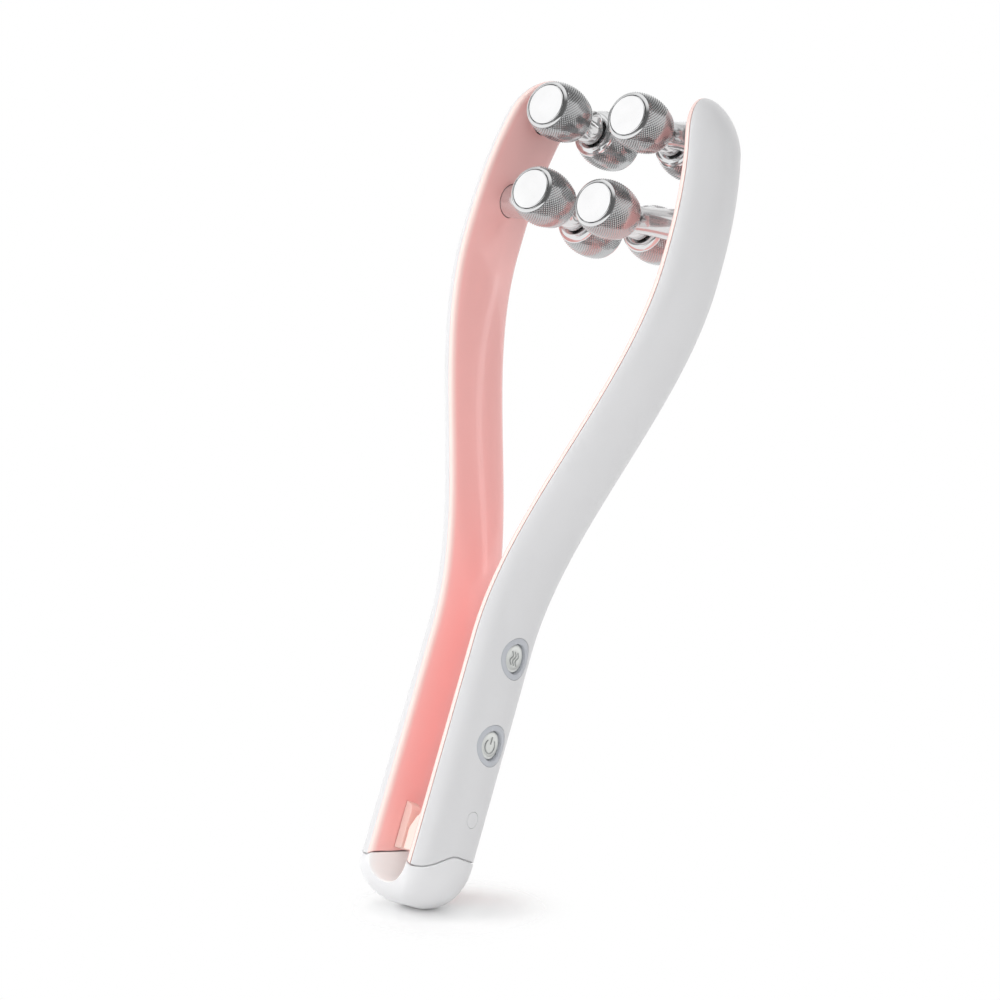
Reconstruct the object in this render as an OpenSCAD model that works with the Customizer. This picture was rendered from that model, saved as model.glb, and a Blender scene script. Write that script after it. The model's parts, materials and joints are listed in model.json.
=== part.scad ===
// Hand-held facial toning device: two sprung, S-curved arms joined by an end cap,
// with two swivelling roller heads on each arm, two rollers on each head.
// +Z runs from the end cap to the tips, +X towards the arm with the buttons,
// -Y is the front. The origin is the middle of the base. Millimetres.

/* [Arms] */
// Height of the arm tips above the base
tip_height = 242; // [232:1:256]
// Width of an arm, front to back
arm_width = 25.7; // [24:0.1:28]
// Depth of the arm section at the lower end
arm_depth_low = 9.7; // [9.4:0.1:11]
// Depth of the arm section at the tips
arm_depth_high = 7.8; // [7.6:0.1:9.4]
// Gap between the arms along the grip, rim to rim
low_gap = 11.8; // [11.2:0.1:14]
// Gap between the arms at their widest
wide_gap = 69; // [66:0.5:76]
// Height at which the arms start to spread
spread_start = 78; // [74:1:84]
// Length over which the arms spread
spread_length = 113.6; // [108:0.2:120]
// Length of the inward curl below the tips
curl_length = 48.3; // [44:0.1:54]
// How far the tips curl inwards
tip_curl = 8.9; // [6:0.1:11]
// Height of the rounded tip
tip_round = 13.4; // [12:0.1:16]
// Wall of the outer shells
shell_wall = 1.5; // [1.2:0.05:1.7]
// Depth of a liner from its rim to its flat back
liner_depth = 1.9; // [1.7:0.05:2.2]
// Height of the crown on a liner face
liner_crown = 1.2; // [0.6:0.1:1.4]
// Seam between a liner and its shell
seam = 0.1; // [0.05:0.01:0.15]

/* [End cap] */
// Height of the parting line at its peak
part_height = 17.5; // [16.5:0.1:19]
// How much lower the parting line is at the front
part_drop = 6.3; // [4:0.1:6.5]
// Distance of the parting line's peak behind the centre
part_peak_y = 8; // [5:0.5:10]
// Running gap at the parting line
part_gap = 0.6; // [0.5:0.05:0.8]
// Height of the channel's centre above the base
channel_height = 10.6; // [10.2:0.1:11.5]
// Half size of the flat on the base, as a share of the cap's outline
base_flat_share = 0.3; // [0.25:0.01:0.35]

/* [Arm hinges] */
// Height of the hinge pins above the base
hinge_height = 13.5; // [13:0.1:14]
// Distance from the liner rim out to the hinge pin
hinge_inset = 4.3; // [4.1:0.1:4.5]
// Diameter of the hinge pins
hinge_pin_d = 3; // [2.5:0.1:3.2]
// Outer diameter of a hinge knuckle
knuckle_d = 5.4; // [5:0.1:5.6]
// Length of a hinge knuckle
knuckle_length = 7; // [6:0.1:8]
// Thickness of the ears that carry the hinge pins
ear_thickness = 1.2; // [1:0.1:1.4]
// Wire diameter of the return springs
spring_wire_d = 0.6; // [0.4:0.05:0.65]
// Radial running clearance of pins and axles
running_clearance = 0.05; // [0.03:0.01:0.08]
// Clearance between pieces that pass each other
side_clearance = 0.3; // [0.25:0.05:0.35]
// Radial clearance of pieces set into each other
seat_clearance = 0.05; // [0.02:0.01:0.08]

/* [Arm frames] */
// Thickness of an arm frame
frame_thickness = 1.4; // [1:0.1:1.6]
// Width of an arm frame
frame_width = 8.5; // [8:0.5:10]
// Diameter of the bosses that carry the head stems
stem_boss_d = 9; // [8.6:0.1:9.6]
// Depth of those bosses beyond the frame, where the shell leaves room for it
stem_boss_depth = 1; // [0.6:0.1:1.1]
// Shank diameter of the frame screws
screw_d = 1.8; // [1.6:0.1:2]
// Head diameter of the frame screws
screw_head_d = 3.6; // [3.2:0.1:4]

/* [Heads] */
// Distance of the upper head's axle below the tips
upper_head_drop = 12.7; // [12.4:0.1:14]
// Distance between the upper and lower axles
head_pitch = 25.7; // [24:0.1:28]
// Distance between the upper axles and the centre plane
upper_axle_x = 14.8; // [14.2:0.05:16]
// Distance between the lower axles and the centre plane
lower_axle_x = 11.8; // [11.8:0.05:12.6]
// How far the cross axle sits below its stem
axle_drop = 1; // [0.4:0.1:1.6]
// Tilt of the upper heads at rest, front end up
upper_tilt = 1.8; // [0:0.1:8]
// Tilt of the lower left head at rest, front end up
lower_left_tilt = 3.8; // [0:0.1:8]
// Tilt of the lower right head at rest, front end up
lower_right_tilt = 0.2; // [0:0.1:8]
// Diameter of a stem where it enters the liner
stem_base_d = 9.8; // [9:0.1:10.2]
// Diameter of a stem at its hub
stem_neck_d = 8; // [7.4:0.1:8.4]
// Diameter of a stem's journal in the frame
journal_d = 5; // [4.6:0.1:5.4]
// Gap around a stem in its liner hole
stem_gap = 0.7; // [0.4:0.05:0.9]
// Diameter of the hub around the cross axle
hub_d = 8.2; // [7.6:0.1:8.6]
// Diameter of the cross axle
axle_d = 4; // [3.5:0.1:4.2]
// Largest turn of a head either way from level
head_swing = 15; // [8:1:15]

/* [Rollers] */
// Largest diameter of a roller
roller_d = 16.7; // [15.8:0.1:16.8]
// Distance of a roller's widest ring from the middle of the head
roller_centre = 12.6; // [12:0.1:13]
// Distance of a roller's outer face from the middle of the head
roller_reach = 19.3; // [19.2:0.1:21]
// Distance of a roller's inner face from the middle of the head
roller_start = 4.6; // [4.4:0.1:4.8]
// Diameter of a roller's inner face
collar_d = 11.6; // [11:0.1:12]
// Diameter at which the polished collar meets the knurled crown
collar_edge_d = 14; // [13.4:0.1:14.4]
// Length of the polished collar
collar_length = 1.4; // [1:0.1:1.6]
// Diameter at which the polished ring meets the knurled crown
ring_d = 14.9; // [14.2:0.1:15.2]
// Diameter of the polished ring's outer face
ring_face_d = 12.4; // [12.2:0.1:13]
// Length of the polished ring
ring_length = 1.3; // [1:0.1:1.5]
// Diameter of the mirror disc in the outer end
disc_d = 11.8; // [11.4:0.1:11.9]
// How far the mirror disc stands out of its ring
disc_proud = 0.15; // [0.1:0.05:0.3]

/* [Buttons] */
// Height of the power button above the base
power_height = 49.2; // [48:0.2:51]
// Height of the mode button above the base
mode_height = 74.6; // [73:0.2:76]
// Diameter of a button cap
button_d = 8.2; // [7.6:0.1:8.6]
// Outer diameter of the ring around a button
button_ring_d = 12; // [11.6:0.1:12.6]
// Depth of that ring
button_ring_depth = 2; // [1.6:0.05:2.1]
// Clearance around a button
button_clearance = 0.15; // [0.1:0.01:0.2]
// Travel of a button
button_travel = 0.5; // [0.3:0.05:0.6]
// How far a button stands out of the shell
button_proud = 0.25; // [0.1:0.05:0.5]
// Height of the indicator window above the base
window_height = 27.6; // [27:0.2:30]
// Diameter of the indicator window
window_d = 4.7; // [4:0.1:5.2]

/* [Electronics] */
// Thickness of the control board
board_thickness = 1; // [0.8:0.1:1.2]
// Width of the control board
board_width = 14; // [12:0.5:15]
// Height of the board's lower end
board_bottom = 23; // [22:0.5:24]
// Height of the board's upper end
board_top = 82; // [80:0.5:84]
// Thickness of the battery
battery_thickness = 2.7; // [2.2:0.1:2.8]
// Width of the battery
battery_width = 11.6; // [10:0.1:11.8]
// Length of the battery
battery_length = 44; // [38:1:46]
// Diameter of the vibration motors
motor_d = 8; // [7:0.1:8.4]
// Thickness of the vibration motors
motor_thickness = 2.5; // [2:0.1:2.6]

/* [Stops] */
// Width of the stop pads
pad_width = 4.6; // [4:0.1:5]
// Height of the top of the left pad
left_pad_top = 29.5; // [28:0.1:30]
// Height of the top of the right pad
right_pad_top = 27.5; // [26:0.1:29]
// How far the left pad stands out of the liner rim plane
left_pad_reach = 4.9; // [4.6:0.05:5]
// Gap between the pads at rest
pad_gap = 0.8; // [0.7:0.05:1]

/* [Hidden] */

$fn = 64;

white = [0.93, 0.93, 0.94];
pink = [0.93, 0.66, 0.64];
pale_pink = [0.96, 0.78, 0.74];
steel = [0.72, 0.73, 0.74];
chrome = [0.80, 0.81, 0.82];
mirror_white = [0.96, 0.96, 0.97];
grey = [0.72, 0.74, 0.77];
dark = [0.20, 0.20, 0.22];
green = [0.15, 0.42, 0.25];
silver_foil = [0.78, 0.80, 0.82];

arm_half = arm_width / 2;
low_face = low_gap / 2;
shell_base = liner_depth + seam;
liner_edge = 0.3;
liner_hollow = 0.15;
upper_z = tip_height - upper_head_drop;
lower_z = upper_z - head_pitch;
stem_heights = [upper_z + axle_drop, lower_z + axle_drop];
tip_base = tip_height - tip_round;
// Share of the depth towards which the rounded tip closes
tip_focus = 0.18;
// Height over which the lower slices level out above the parting line
level_length = 18;
// Nominal height of the first slice
first_slice = part_height - part_drop / 3;

arc_points = 17;
body_slices = 30;
tip_slices = 9;

// ---- shape rules ----------------------------------------------------------

function smooth(t) = let (c = min(1, max(0, t))) c * c * (3 - 2 * c);

// Distance of the liner rim from the centre plane
function face_x(z) =
    low_face + (wide_gap / 2 - low_face) * smooth((z - spread_start) / spread_length)
    - tip_curl * pow(max(0, (z - (tip_height - curl_length)) / curl_length), 2.4);

// Depth of the whole arm section
function depth(z) = arm_depth_low + (arm_depth_high - arm_depth_low) * z / tip_height;

// Share of the full section left in the rounded tip
function tip_share(z) =
    let (t = max(0, (z - tip_base) / tip_round)) sqrt(max(0, 1 - t * t));

// Height of the parting line
function part_z(y) =
    part_height - part_drop * pow((y - part_peak_y) / (part_peak_y + arm_half), 2);

// Height on the arm of a slice, which follows the parting line at its lower end
function slice_z(h, y) =
    h + (part_z(y) + part_gap / 2 - first_slice) * (1 - smooth((h - first_slice) / level_length));

// Half width of the section where the shell meets the liner
function rim_half(z) = arm_half * cos(asin(shell_base / depth(z)));

// Liner face, measured out from the rim plane, at a share of the half width
function face_bulge(share) =
    let (edge = liner_depth - liner_edge)
    edge - (edge + liner_crown * (1 - share * share)) * pow(max(0, 1 - pow(abs(share), 14)), 1 / 3);

// Slightly hollow back of a liner
function liner_back_x(share) = liner_depth - liner_hollow * (1 - share * share);

// Places a section point in the arm and draws it in towards the rounded tip
function place(h, x, y) =
    let (s = tip_share(h), z = slice_z(h, y), focus = tip_focus * depth(h))
    [face_x(z) + focus + (x - focus) * s, y * s, z];

function slice_heights() = concat(
    [for (k = [0 : body_slices]) first_slice + (tip_base - first_slice) * pow(k / body_slices, 1.15)],
    [for (k = [1 : tip_slices]) tip_base + tip_round * sin(88 * k / tip_slices)]);

// Point of an elliptic arc from base to base, i of n
function arc_point(a, b, base, i, n) =
    let (start = asin(base / a), angle = start + (180 - 2 * start) * i / (n - 1))
    [a * sin(angle), -b * cos(angle)];

// Share of the shell's cavity left near the tip
function cavity_share(h) = 1 - 0.97 * smooth((h - tip_base - 0.35 * tip_round) / (0.6 * tip_round));

// Inner wall of the shell on the arm's middle line
function cavity_x(z) =
    place(z, shell_base + (depth(z) - shell_wall - shell_base) * cavity_share(z), 0)[0];

function shell_outer(h) = [for (i = [0 : arc_points - 1])
    let (p = arc_point(depth(h), arm_half, shell_base, i, arc_points)) place(h, p[0], p[1])];

function shell_inner(h) = [for (i = [0 : arc_points - 1])
    let (p = arc_point(depth(h) - shell_wall, arm_half - shell_wall, shell_base, i, arc_points))
    place(h, shell_base + (p[0] - shell_base) * cavity_share(h), p[1])];

function liner_front(h) = [for (i = [0 : arc_points - 1])
    let (share = -cos(180 * i / (arc_points - 1))) place(h, face_bulge(share), share * rim_half(h))];

function liner_back(h) = [for (i = [0 : arc_points - 1])
    let (share = -cos(180 * i / (arc_points - 1))) place(h, liner_back_x(share), share * rim_half(h))];

// Solid between two grids of points with equal rows, closed on every side
module ladder(front, back) {
    rows = len(front);
    n = len(front[0]);
    function f(k, i) = k * n + i;
    function b(k, i) = rows * n + k * n + i;
    function quad(p, q, r, s) = [[p, q, r], [p, r, s]];
    faces = concat(
        [for (k = [0 : rows - 2], i = [0 : n - 2])
            each quad(f(k, i), f(k, i + 1), f(k + 1, i + 1), f(k + 1, i))],
        [for (k = [0 : rows - 2], i = [0 : n - 2])
            each quad(b(k, i), b(k + 1, i), b(k + 1, i + 1), b(k, i + 1))],
        [for (k = [0 : rows - 2]) each quad(f(k, 0), f(k + 1, 0), b(k + 1, 0), b(k, 0))],
        [for (k = [0 : rows - 2])
            each quad(f(k, n - 1), b(k, n - 1), b(k + 1, n - 1), f(k + 1, n - 1))],
        [for (i = [0 : n - 2]) each quad(f(0, i), b(0, i), b(0, i + 1), f(0, i + 1))],
        [for (i = [0 : n - 2])
            each quad(f(rows - 1, i), f(rows - 1, i + 1), b(rows - 1, i + 1), b(rows - 1, i))]);
    polyhedron([for (row = front) each row, for (row = back) each row], faces);
}

// ---- helpers --------------------------------------------------------------

// Round bar along +X
module bar_x(x, y, z, d, length) {
    translate([x, y, z]) rotate([0, 90, 0]) cylinder(d = d, h = length);
}

// Round bar centred along Y
module bar_y(x, z, d, length) {
    translate([x, 0, z]) rotate([90, 0, 0]) cylinder(d = d, h = length, center = true);
}

module mirrored(side) {
    if (side < 0) mirror([1, 0, 0]) children();
    else children();
}

// ---- end cap --------------------------------------------------------------

cap_power = 2.37;
cap_slices = 12;
hinge_x = low_face + hinge_inset;
knuckle_room = knuckle_d / 2 + side_clearance;
ear_start = knuckle_length / 2 + side_clearance;
ear_half = hinge_inset - liner_depth - side_clearance;
spring_y = ear_start + ear_thickness + running_clearance + spring_wire_d / 2;
pin_half = spring_y + spring_wire_d / 2 + 0.1;
well_x = hinge_x - knuckle_room - seat_clearance;
well_depth_x = 2 * (knuckle_room + seat_clearance);
well_half_y = pin_half + 0.2;
bracket_base = 0.8;
well_floor = hinge_height - knuckle_room - bracket_base;
port_x = low_face + 3.7;
port_wide = 8.9;
port_thick = 3.2;
port_wall = 0.3;
port_length = 4.4;
port_mouth = well_floor - port_length - 0.5;

function cap_rise(s) = 1 - pow(1 - pow(s, cap_power), 1 / cap_power);

function cap_row(s) =
    let (low = cap_rise(base_flat_share), lift = (cap_rise(s) - low) / (1 - low))
    [for (i = [0 : arc_points - 1])
        let (angle = 180 * i / (arc_points - 1),
             y = -arm_half * cos(angle),
             x = low_face + arm_depth_low * sin(angle))
        [x * s, y * s, (part_z(y * s) - part_gap / 2) * lift]];

function mirror_row(row) = [for (p = row) [-p[0], p[1], p[2]]];

// Half width of the channel at a share of the half depth
function channel_half(share) =
    low_face + min(0.9, face_bulge(min(1, abs(share)) * sign(share)));

channel_top = part_height + 10;
channel_half_shares = [0.25, 0.5, 0.7, 0.83, 0.92, 0.98, 1, 1.3];
channel_shares = concat([for (k = [7 : -1 : 0]) -channel_half_shares[k]], [0], channel_half_shares);

module cap_body() {
    sizes = [for (k = [0 : cap_slices])
        base_flat_share + (1 - base_flat_share) * sin(90 * k / cap_slices)];
    rows = [for (s = sizes) cap_row(s)];
    ladder([for (row = rows) mirror_row(row)], rows);
}

module cap_channel() {
    front = [for (share = channel_shares) [for (i = [0 : 14])
        let (angle = 180 + 180 * i / 14, r = channel_half(share))
        [r * cos(angle), share * arm_half, channel_height + r * sin(angle)]]];
    back = [for (row = front) [for (p = row) [p[0], p[1], channel_top]]];
    ladder(front, back);
}

module port_outline(wide, thick, height) {
    linear_extrude(height) {
        square([thick, wide - thick], center = true);
        for (end = [-1, 1]) translate([0, end * (wide - thick) / 2]) circle(d = thick);
    }
}

module end_cap() {
    color(white) difference() {
        cap_body();
        cap_channel();
        for (side = [-1, 1]) mirrored(side) {
            translate([well_x, -well_half_y, well_floor])
                cube([well_depth_x, 2 * well_half_y, channel_top]);
        }
        // charging slot from the base into the left well
        translate([-port_x, 0, -1])
            port_outline(port_wide + 2 * seat_clearance, port_thick + 2 * seat_clearance, well_floor + 1.5);
    }
}

// Two ears on a base plate, for the hinge pin of one arm
module bracket_half() {
    difference() {
        union() {
            for (end = [-1, 1]) {
                translate([hinge_x - ear_half, end * (ear_start + ear_thickness / 2) - ear_thickness / 2,
                           well_floor])
                    cube([2 * ear_half, ear_thickness, hinge_height - well_floor]);
                translate([hinge_x, end * (ear_start + ear_thickness / 2), hinge_height])
                    rotate([90, 0, 0]) cylinder(r = ear_half, h = ear_thickness, center = true);
            }
            translate([hinge_x - knuckle_room, -ear_start - ear_thickness, well_floor])
                cube([2 * knuckle_room, 2 * (ear_start + ear_thickness), bracket_base]);
        }
        bar_y(hinge_x, hinge_height, hinge_pin_d, 4 * pin_half);
    }
}

module hinge_bracket() {
    color(steel) for (side = [-1, 1]) mirrored(side) bracket_half();
}

module hinge_pins() {
    color(chrome) for (side = [-1, 1]) mirrored(side)
        bar_y(hinge_x, hinge_height, hinge_pin_d, 2 * pin_half);
}

// Coils of the torsion springs, round the pins outside the ears
module return_springs() {
    coil_r = hinge_pin_d / 2 + running_clearance + spring_wire_d / 2;
    color(dark) for (side = [-1, 1], end = [-1, 1]) mirrored(side)
        translate([hinge_x, end * spring_y, hinge_height]) rotate([90, 0, 0])
            rotate_extrude() translate([coil_r, 0]) circle(d = spring_wire_d, $fn = 24);
}

module charging_port() {
    color(steel) translate([-port_x, 0, port_mouth]) difference() {
        port_outline(port_wide, port_thick, port_length);
        translate([0, 0, -1])
            port_outline(port_wide - 2 * port_wall, port_thick - 2 * port_wall, port_length - port_wall + 1);
    }
}

module port_tongue() {
    tongue = [0.7, 5.6, 2.8];
    top = port_mouth + port_length - port_wall;
    color(dark) translate([-port_x - tongue[0] / 2, -tongue[1] / 2, top - tongue[2]]) cube(tongue);
}

// ---- arms -----------------------------------------------------------------

frame_front = liner_depth + seam;
frame_back = frame_front + frame_thickness;
stem_boss_r = stem_boss_d / 2;
frame_top = upper_z + axle_drop + 0.8 * stem_boss_r;
motor_gap = 3;
foil_gap = 0.15;
motor_z = lower_z + axle_drop - stem_boss_r - motor_d / 2 - motor_gap;
screw_low = spread_start + 2 * frame_width;
screw_top = motor_z - 2 * motor_d;
screw_heights = [for (share = [0, 0.5, 1]) screw_low + share * (screw_top - screw_low)];
screw_bite = 1.6;
screw_head_h = 0.9;
screw_pad_d = screw_head_d + 1;
screw_pad_top = frame_back + 0.8;
// Overlap of shapes that make one solid
lap = 0.1;
// Gap between flat faces that slide on each other
thrust_gap = 0.1;

// Flat inner end of a stem boss, clear of the sloping liner back, and the boss's outer end
function boss_start(z) = min(face_x(z - stem_boss_r), face_x(z + stem_boss_r)) + frame_front;
function boss_end(z) = min(
    face_x(z) + frame_back + stem_boss_depth,
    cavity_x(z + stem_boss_r) - thrust_gap,
    cavity_x(z + washer_d / 2) - side_clearance - washer_thickness - thrust_gap);

module shell_solid() {
    heights = slice_heights();
    ladder([for (h = heights) shell_inner(h)], [for (h = heights) shell_outer(h)]);
}

// The arm's full outer form, to which flush inserts are cut
module arm_form() {
    slices = 8;
    bottom = window_height - window_d;
    top = mode_height + button_ring_d;
    heights = [for (k = [0 : slices]) bottom + (top - bottom) * k / slices];
    base = [for (h = heights) [for (i = [0 : 24])
        let (p = arc_point(depth(h), arm_half, shell_base, i, 25)) [face_x(h) + shell_base, p[1], h]]];
    outer = [for (h = heights) [for (i = [0 : 24])
        let (p = arc_point(depth(h), arm_half, shell_base, i, 25)) [face_x(h) + p[0], p[1], h]]];
    ladder(base, outer);
}

module liner_solid() {
    heights = slice_heights();
    ladder([for (h = heights) liner_front(h)], [for (h = heights) liner_back(h)]);
}

module liner() {
    color(pink) difference() {
        liner_solid();
        for (z = stem_heights) bar_x(0, 0, z, stem_base_d + 2 * stem_gap, tip_height);
        for (z = screw_heights)
            bar_x(face_x(z) + frame_front - screw_bite - seat_clearance, 0, z,
                  screw_d + 2 * seat_clearance, 2 * screw_bite);
    }
}

// Side profile between two offsets from the rim plane, over a range of heights
module side_strip(from, to, bottom, top, width) {
    rows = 40;
    heights = [for (k = [0 : rows]) bottom + (top - bottom) * k / rows];
    inner = [for (h = heights) [face_x(h) + from, h]];
    outer = [for (k = [rows : -1 : 0]) [face_x(heights[k]) + to, heights[k]]];
    translate([0, width / 2, 0]) rotate([90, 0, 0]) linear_extrude(width) polygon(concat(inner, outer));
}

module frame_knuckle() {
    bar_y(hinge_x, hinge_height, knuckle_d, knuckle_length);
    translate([low_face + frame_front, -knuckle_length / 2, hinge_height])
        cube([hinge_inset - frame_front, knuckle_length, knuckle_d / 2 + 1.5]);
}

// Pads under the screw heads, cut off halfway through the frame
module screw_pads() {
    difference() {
        for (z = screw_heights) bar_x(face_x(z), 0, z, screw_pad_d, screw_pad_top);
        side_strip(-screw_pad_top, (frame_front + frame_back) / 2, spread_start, upper_z, 2 * frame_width);
    }
}

// Narrows the strip to the knuckle where it enters the end cap
module knuckle_trim() {
    for (end = [-1, 1])
        translate([0, end * (knuckle_length / 2 + frame_width) - frame_width, 0])
            cube([hinge_x, 2 * frame_width, part_height + 1]);
}

// Posts beside each stem boss that stop the tab of the stem's washer
module swing_posts(z) {
    for (end = [-1, 1])
        translate([0, 0, z]) rotate([end * (head_swing + tab_half_angle + post_half_angle + 1), 0, 0])
            translate([boss_end(z) - post_root, -post_width / 2, post_inset - stem_boss_r])
                cube([post_root + washer_thickness, post_width,
                      stem_boss_r - post_inset - washer_d / 2 - side_clearance]);
}

module arm_frame() {
    difference() {
        union() {
            difference() {
                side_strip(frame_front, frame_back, hinge_height, frame_top, frame_width);
                knuckle_trim();
                // spot faces, from which the bosses stand a little proud
                for (z = stem_heights)
                    bar_x(boss_end(z) - lap / 2, 0, z, 2 * (tab_reach + side_clearance), arm_width);
            }
            frame_knuckle();
            screw_pads();
            for (z = stem_heights) {
                bar_x(boss_start(z), 0, z, stem_boss_d, boss_end(z) - boss_start(z));
                swing_posts(z);
            }
        }
        bar_y(hinge_x, hinge_height, hinge_pin_d + 2 * running_clearance, 2 * arm_width);
        for (z = stem_heights) bar_x(0, 0, z, journal_d + 2 * running_clearance, tip_height);
        for (z = screw_heights) bar_x(face_x(z), 0, z, screw_d + 2 * seat_clearance, 3 * frame_back);
    }
}

module frame_screws() {
    color(dark) for (z = screw_heights) {
        seat = face_x(z) + screw_pad_top;
        shank = screw_pad_top - frame_front + screw_bite;
        bar_x(seat - shank, 0, z, screw_d, shank + lap);
        bar_x(seat, 0, z, screw_head_d, screw_head_h);
    }
}

// Coin motor, flat on the sloping frame
module motor() {
    low = face_x(motor_z - motor_d / 2);
    high = face_x(motor_z + motor_d / 2);
    color(silver_foil) translate([(low + high) / 2 + frame_back + foil_gap, 0, motor_z])
        rotate([0, 90 + atan2(high - low, motor_d), 0]) cylinder(d = motor_d, h = motor_thickness);
}

// ---- right arm ------------------------------------------------------------

board_back = low_face + frame_back + board_thickness / 2;
board_front = board_back + board_thickness;
board_screw_z = [(window_height + power_height) / 2, (power_height + mode_height) / 2];
board_head_h = 0.6;
standoff_d = 3.2;
standoff_start = low_face + frame_front + lap;
board_screw_bite = 1.2;
switch_size = 3.4;
switch_height = 0.7;
switch_top = board_front + switch_height;
button_heights = [power_height, mode_height];
window_depth = 3;

function outer_x(z) = face_x(z) + depth(z);

module right_outer_shell() {
    color(white) difference() {
        shell_solid();
        for (z = button_heights) bar_x(board_front, 0, z, button_ring_d + 2 * seat_clearance, arm_width);
        bar_x(board_front, 0, window_height, window_d + 2 * seat_clearance, arm_width);
    }
}

module right_arm_frame() {
    color(dark) difference() {
        union() {
            arm_frame();
            for (z = board_screw_z)
                bar_x(standoff_start, 0, z, standoff_d, board_back - standoff_start);
        }
        for (z = board_screw_z) bar_x(low_face, 0, z, screw_d + 2 * seat_clearance, arm_width);
    }
}

module control_board() {
    color(green) difference() {
        translate([board_back, -board_width / 2, board_bottom])
            cube([board_thickness, board_width, board_top - board_bottom]);
        for (z = board_screw_z)
            bar_x(board_back - 1, 0, z, screw_d + 2 * seat_clearance, board_thickness + 2);
    }
}

module board_screws() {
    color(steel) for (z = board_screw_z) {
        bar_x(board_back - board_screw_bite, 0, z, screw_d, board_thickness + board_screw_bite + lap);
        bar_x(board_front, 0, z, screw_head_d, board_head_h);
    }
}

module tact_switches() {
    color(dark) for (z = button_heights)
        translate([board_front, -switch_size / 2, z - switch_size / 2])
            cube([switch_height, switch_size, switch_size]);
}

// Round insert whose outer face follows the arm
module flush_insert(z, d, sink) {
    intersection() {
        arm_form();
        bar_x(outer_x(z) - sink, 0, z, d, arm_width);
    }
}

module indicator_window() {
    color(mirror_white) flush_insert(window_height, window_d, window_depth);
}

module button_rings() {
    color(grey) for (z = button_heights) difference() {
        flush_insert(z, button_ring_d, button_ring_depth);
        bar_x(board_front, 0, z, button_d + 2 * button_clearance, arm_width);
    }
}

// Round key with a crowned top and a flange under its ring, over its switch
module button(z) {
    key_r = button_d / 2;
    top = outer_x(z) + button_proud;
    seat = outer_x(z) - button_ring_depth - thrust_gap;
    flange = 0.6;
    foot = switch_top + button_travel + thrust_gap;
    foot_r = 1.1;
    crown = 0.45;
    steps = 8;
    color(chrome) translate([0, 0, z]) rotate([0, 90, 0]) rotate_extrude() polygon(concat(
        [[0, foot], [foot_r, foot], [foot_r, seat - flange], [key_r + flange, seat - flange],
         [key_r + flange, seat], [key_r, seat]],
        [for (k = [0 : steps])
            let (angle = 90 * k / steps)
            [key_r * cos(angle), top - crown + crown * sin(angle)]]));
}

module power_button() {
    button(power_height);
}

module mode_button() {
    button(mode_height);
}

// ---- stop pads ------------------------------------------------------------

pad_bottom = part_height + 1.2;
left_pad_y = -2.7;
right_pad_y = -4.6;
pad_round = 1.2;

// Pad on the liner face at the right, reaching inwards from the rim plane by a given distance
module stop_pad(top, reach, y) {
    near = max(0, abs(y) - pad_width / 2) / arm_half;
    root = low_face + face_bulge(near) - 0.02;
    far = low_face - reach;
    color(pale_pink) translate([0, y + pad_width / 2, 0]) rotate([90, 0, 0])
        linear_extrude(pad_width) polygon([
            [root, pad_bottom], [far, pad_bottom], [far, top - pad_round],
            [far + 0.3 * pad_round, top - 0.3 * pad_round], [far + pad_round, top], [root, top + 0.6]]);
}

// ---- left arm -------------------------------------------------------------

battery_bottom = hinge_height + 16;

module left_arm_frame() {
    color(dark) mirrored(-1) arm_frame();
}

module battery() {
    x = low_face + frame_back + foil_gap;
    color(silver_foil) mirrored(-1)
        translate([x, -battery_width / 2, battery_bottom])
            cube([battery_thickness, battery_width, battery_length]);
}

// ---- heads ----------------------------------------------------------------

function axle_x(level) = level > 0 ? upper_axle_x : lower_axle_x;
function axle_z(level) = level > 0 ? upper_z : lower_z;
function head_tilt(side, level) =
    level > 0 ? upper_tilt : side > 0 ? lower_right_tilt : lower_left_tilt;

bore_d = axle_d + 2 * running_clearance;
core_end = roller_reach - ring_length - 4.2;
clip_thickness = 0.6;
clip_start = core_end + 0.15;
clip_d = bore_d + 3;
pocket_d = clip_d + 1;
axle_half = clip_start + clip_thickness + 0.5;
disc_back = roller_reach - ring_length - 0.4;
washer_d = journal_d + 1.2;
washer_thickness = 0.6;
tab_width = 1.2;
tab_reach = washer_d / 2 + 1.4;
tab_half_angle = asin(tab_width / 2 / (washer_d / 2));
post_width = 0.8;
post_root = 0.5;
post_inset = 0.2;
post_half_angle = asin(post_width / 2 / (washer_d / 2));
stud_d = 2;
stud_length = 3;

// Local frame of a head: the cross axle runs along Y through the origin, front at -Y
module head_frame(side, level) {
    mirrored(side) translate([axle_x(level), 0, axle_z(level)])
        rotate([-head_tilt(side, level), 0, 0]) children();
}

// Turned solid on the cross axle, its profile given as [radius, distance from the middle]
module turned(end) {
    rotate([end > 0 ? -90 : 90, 0, 0]) rotate_extrude($fn = 96) children();
}

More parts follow.
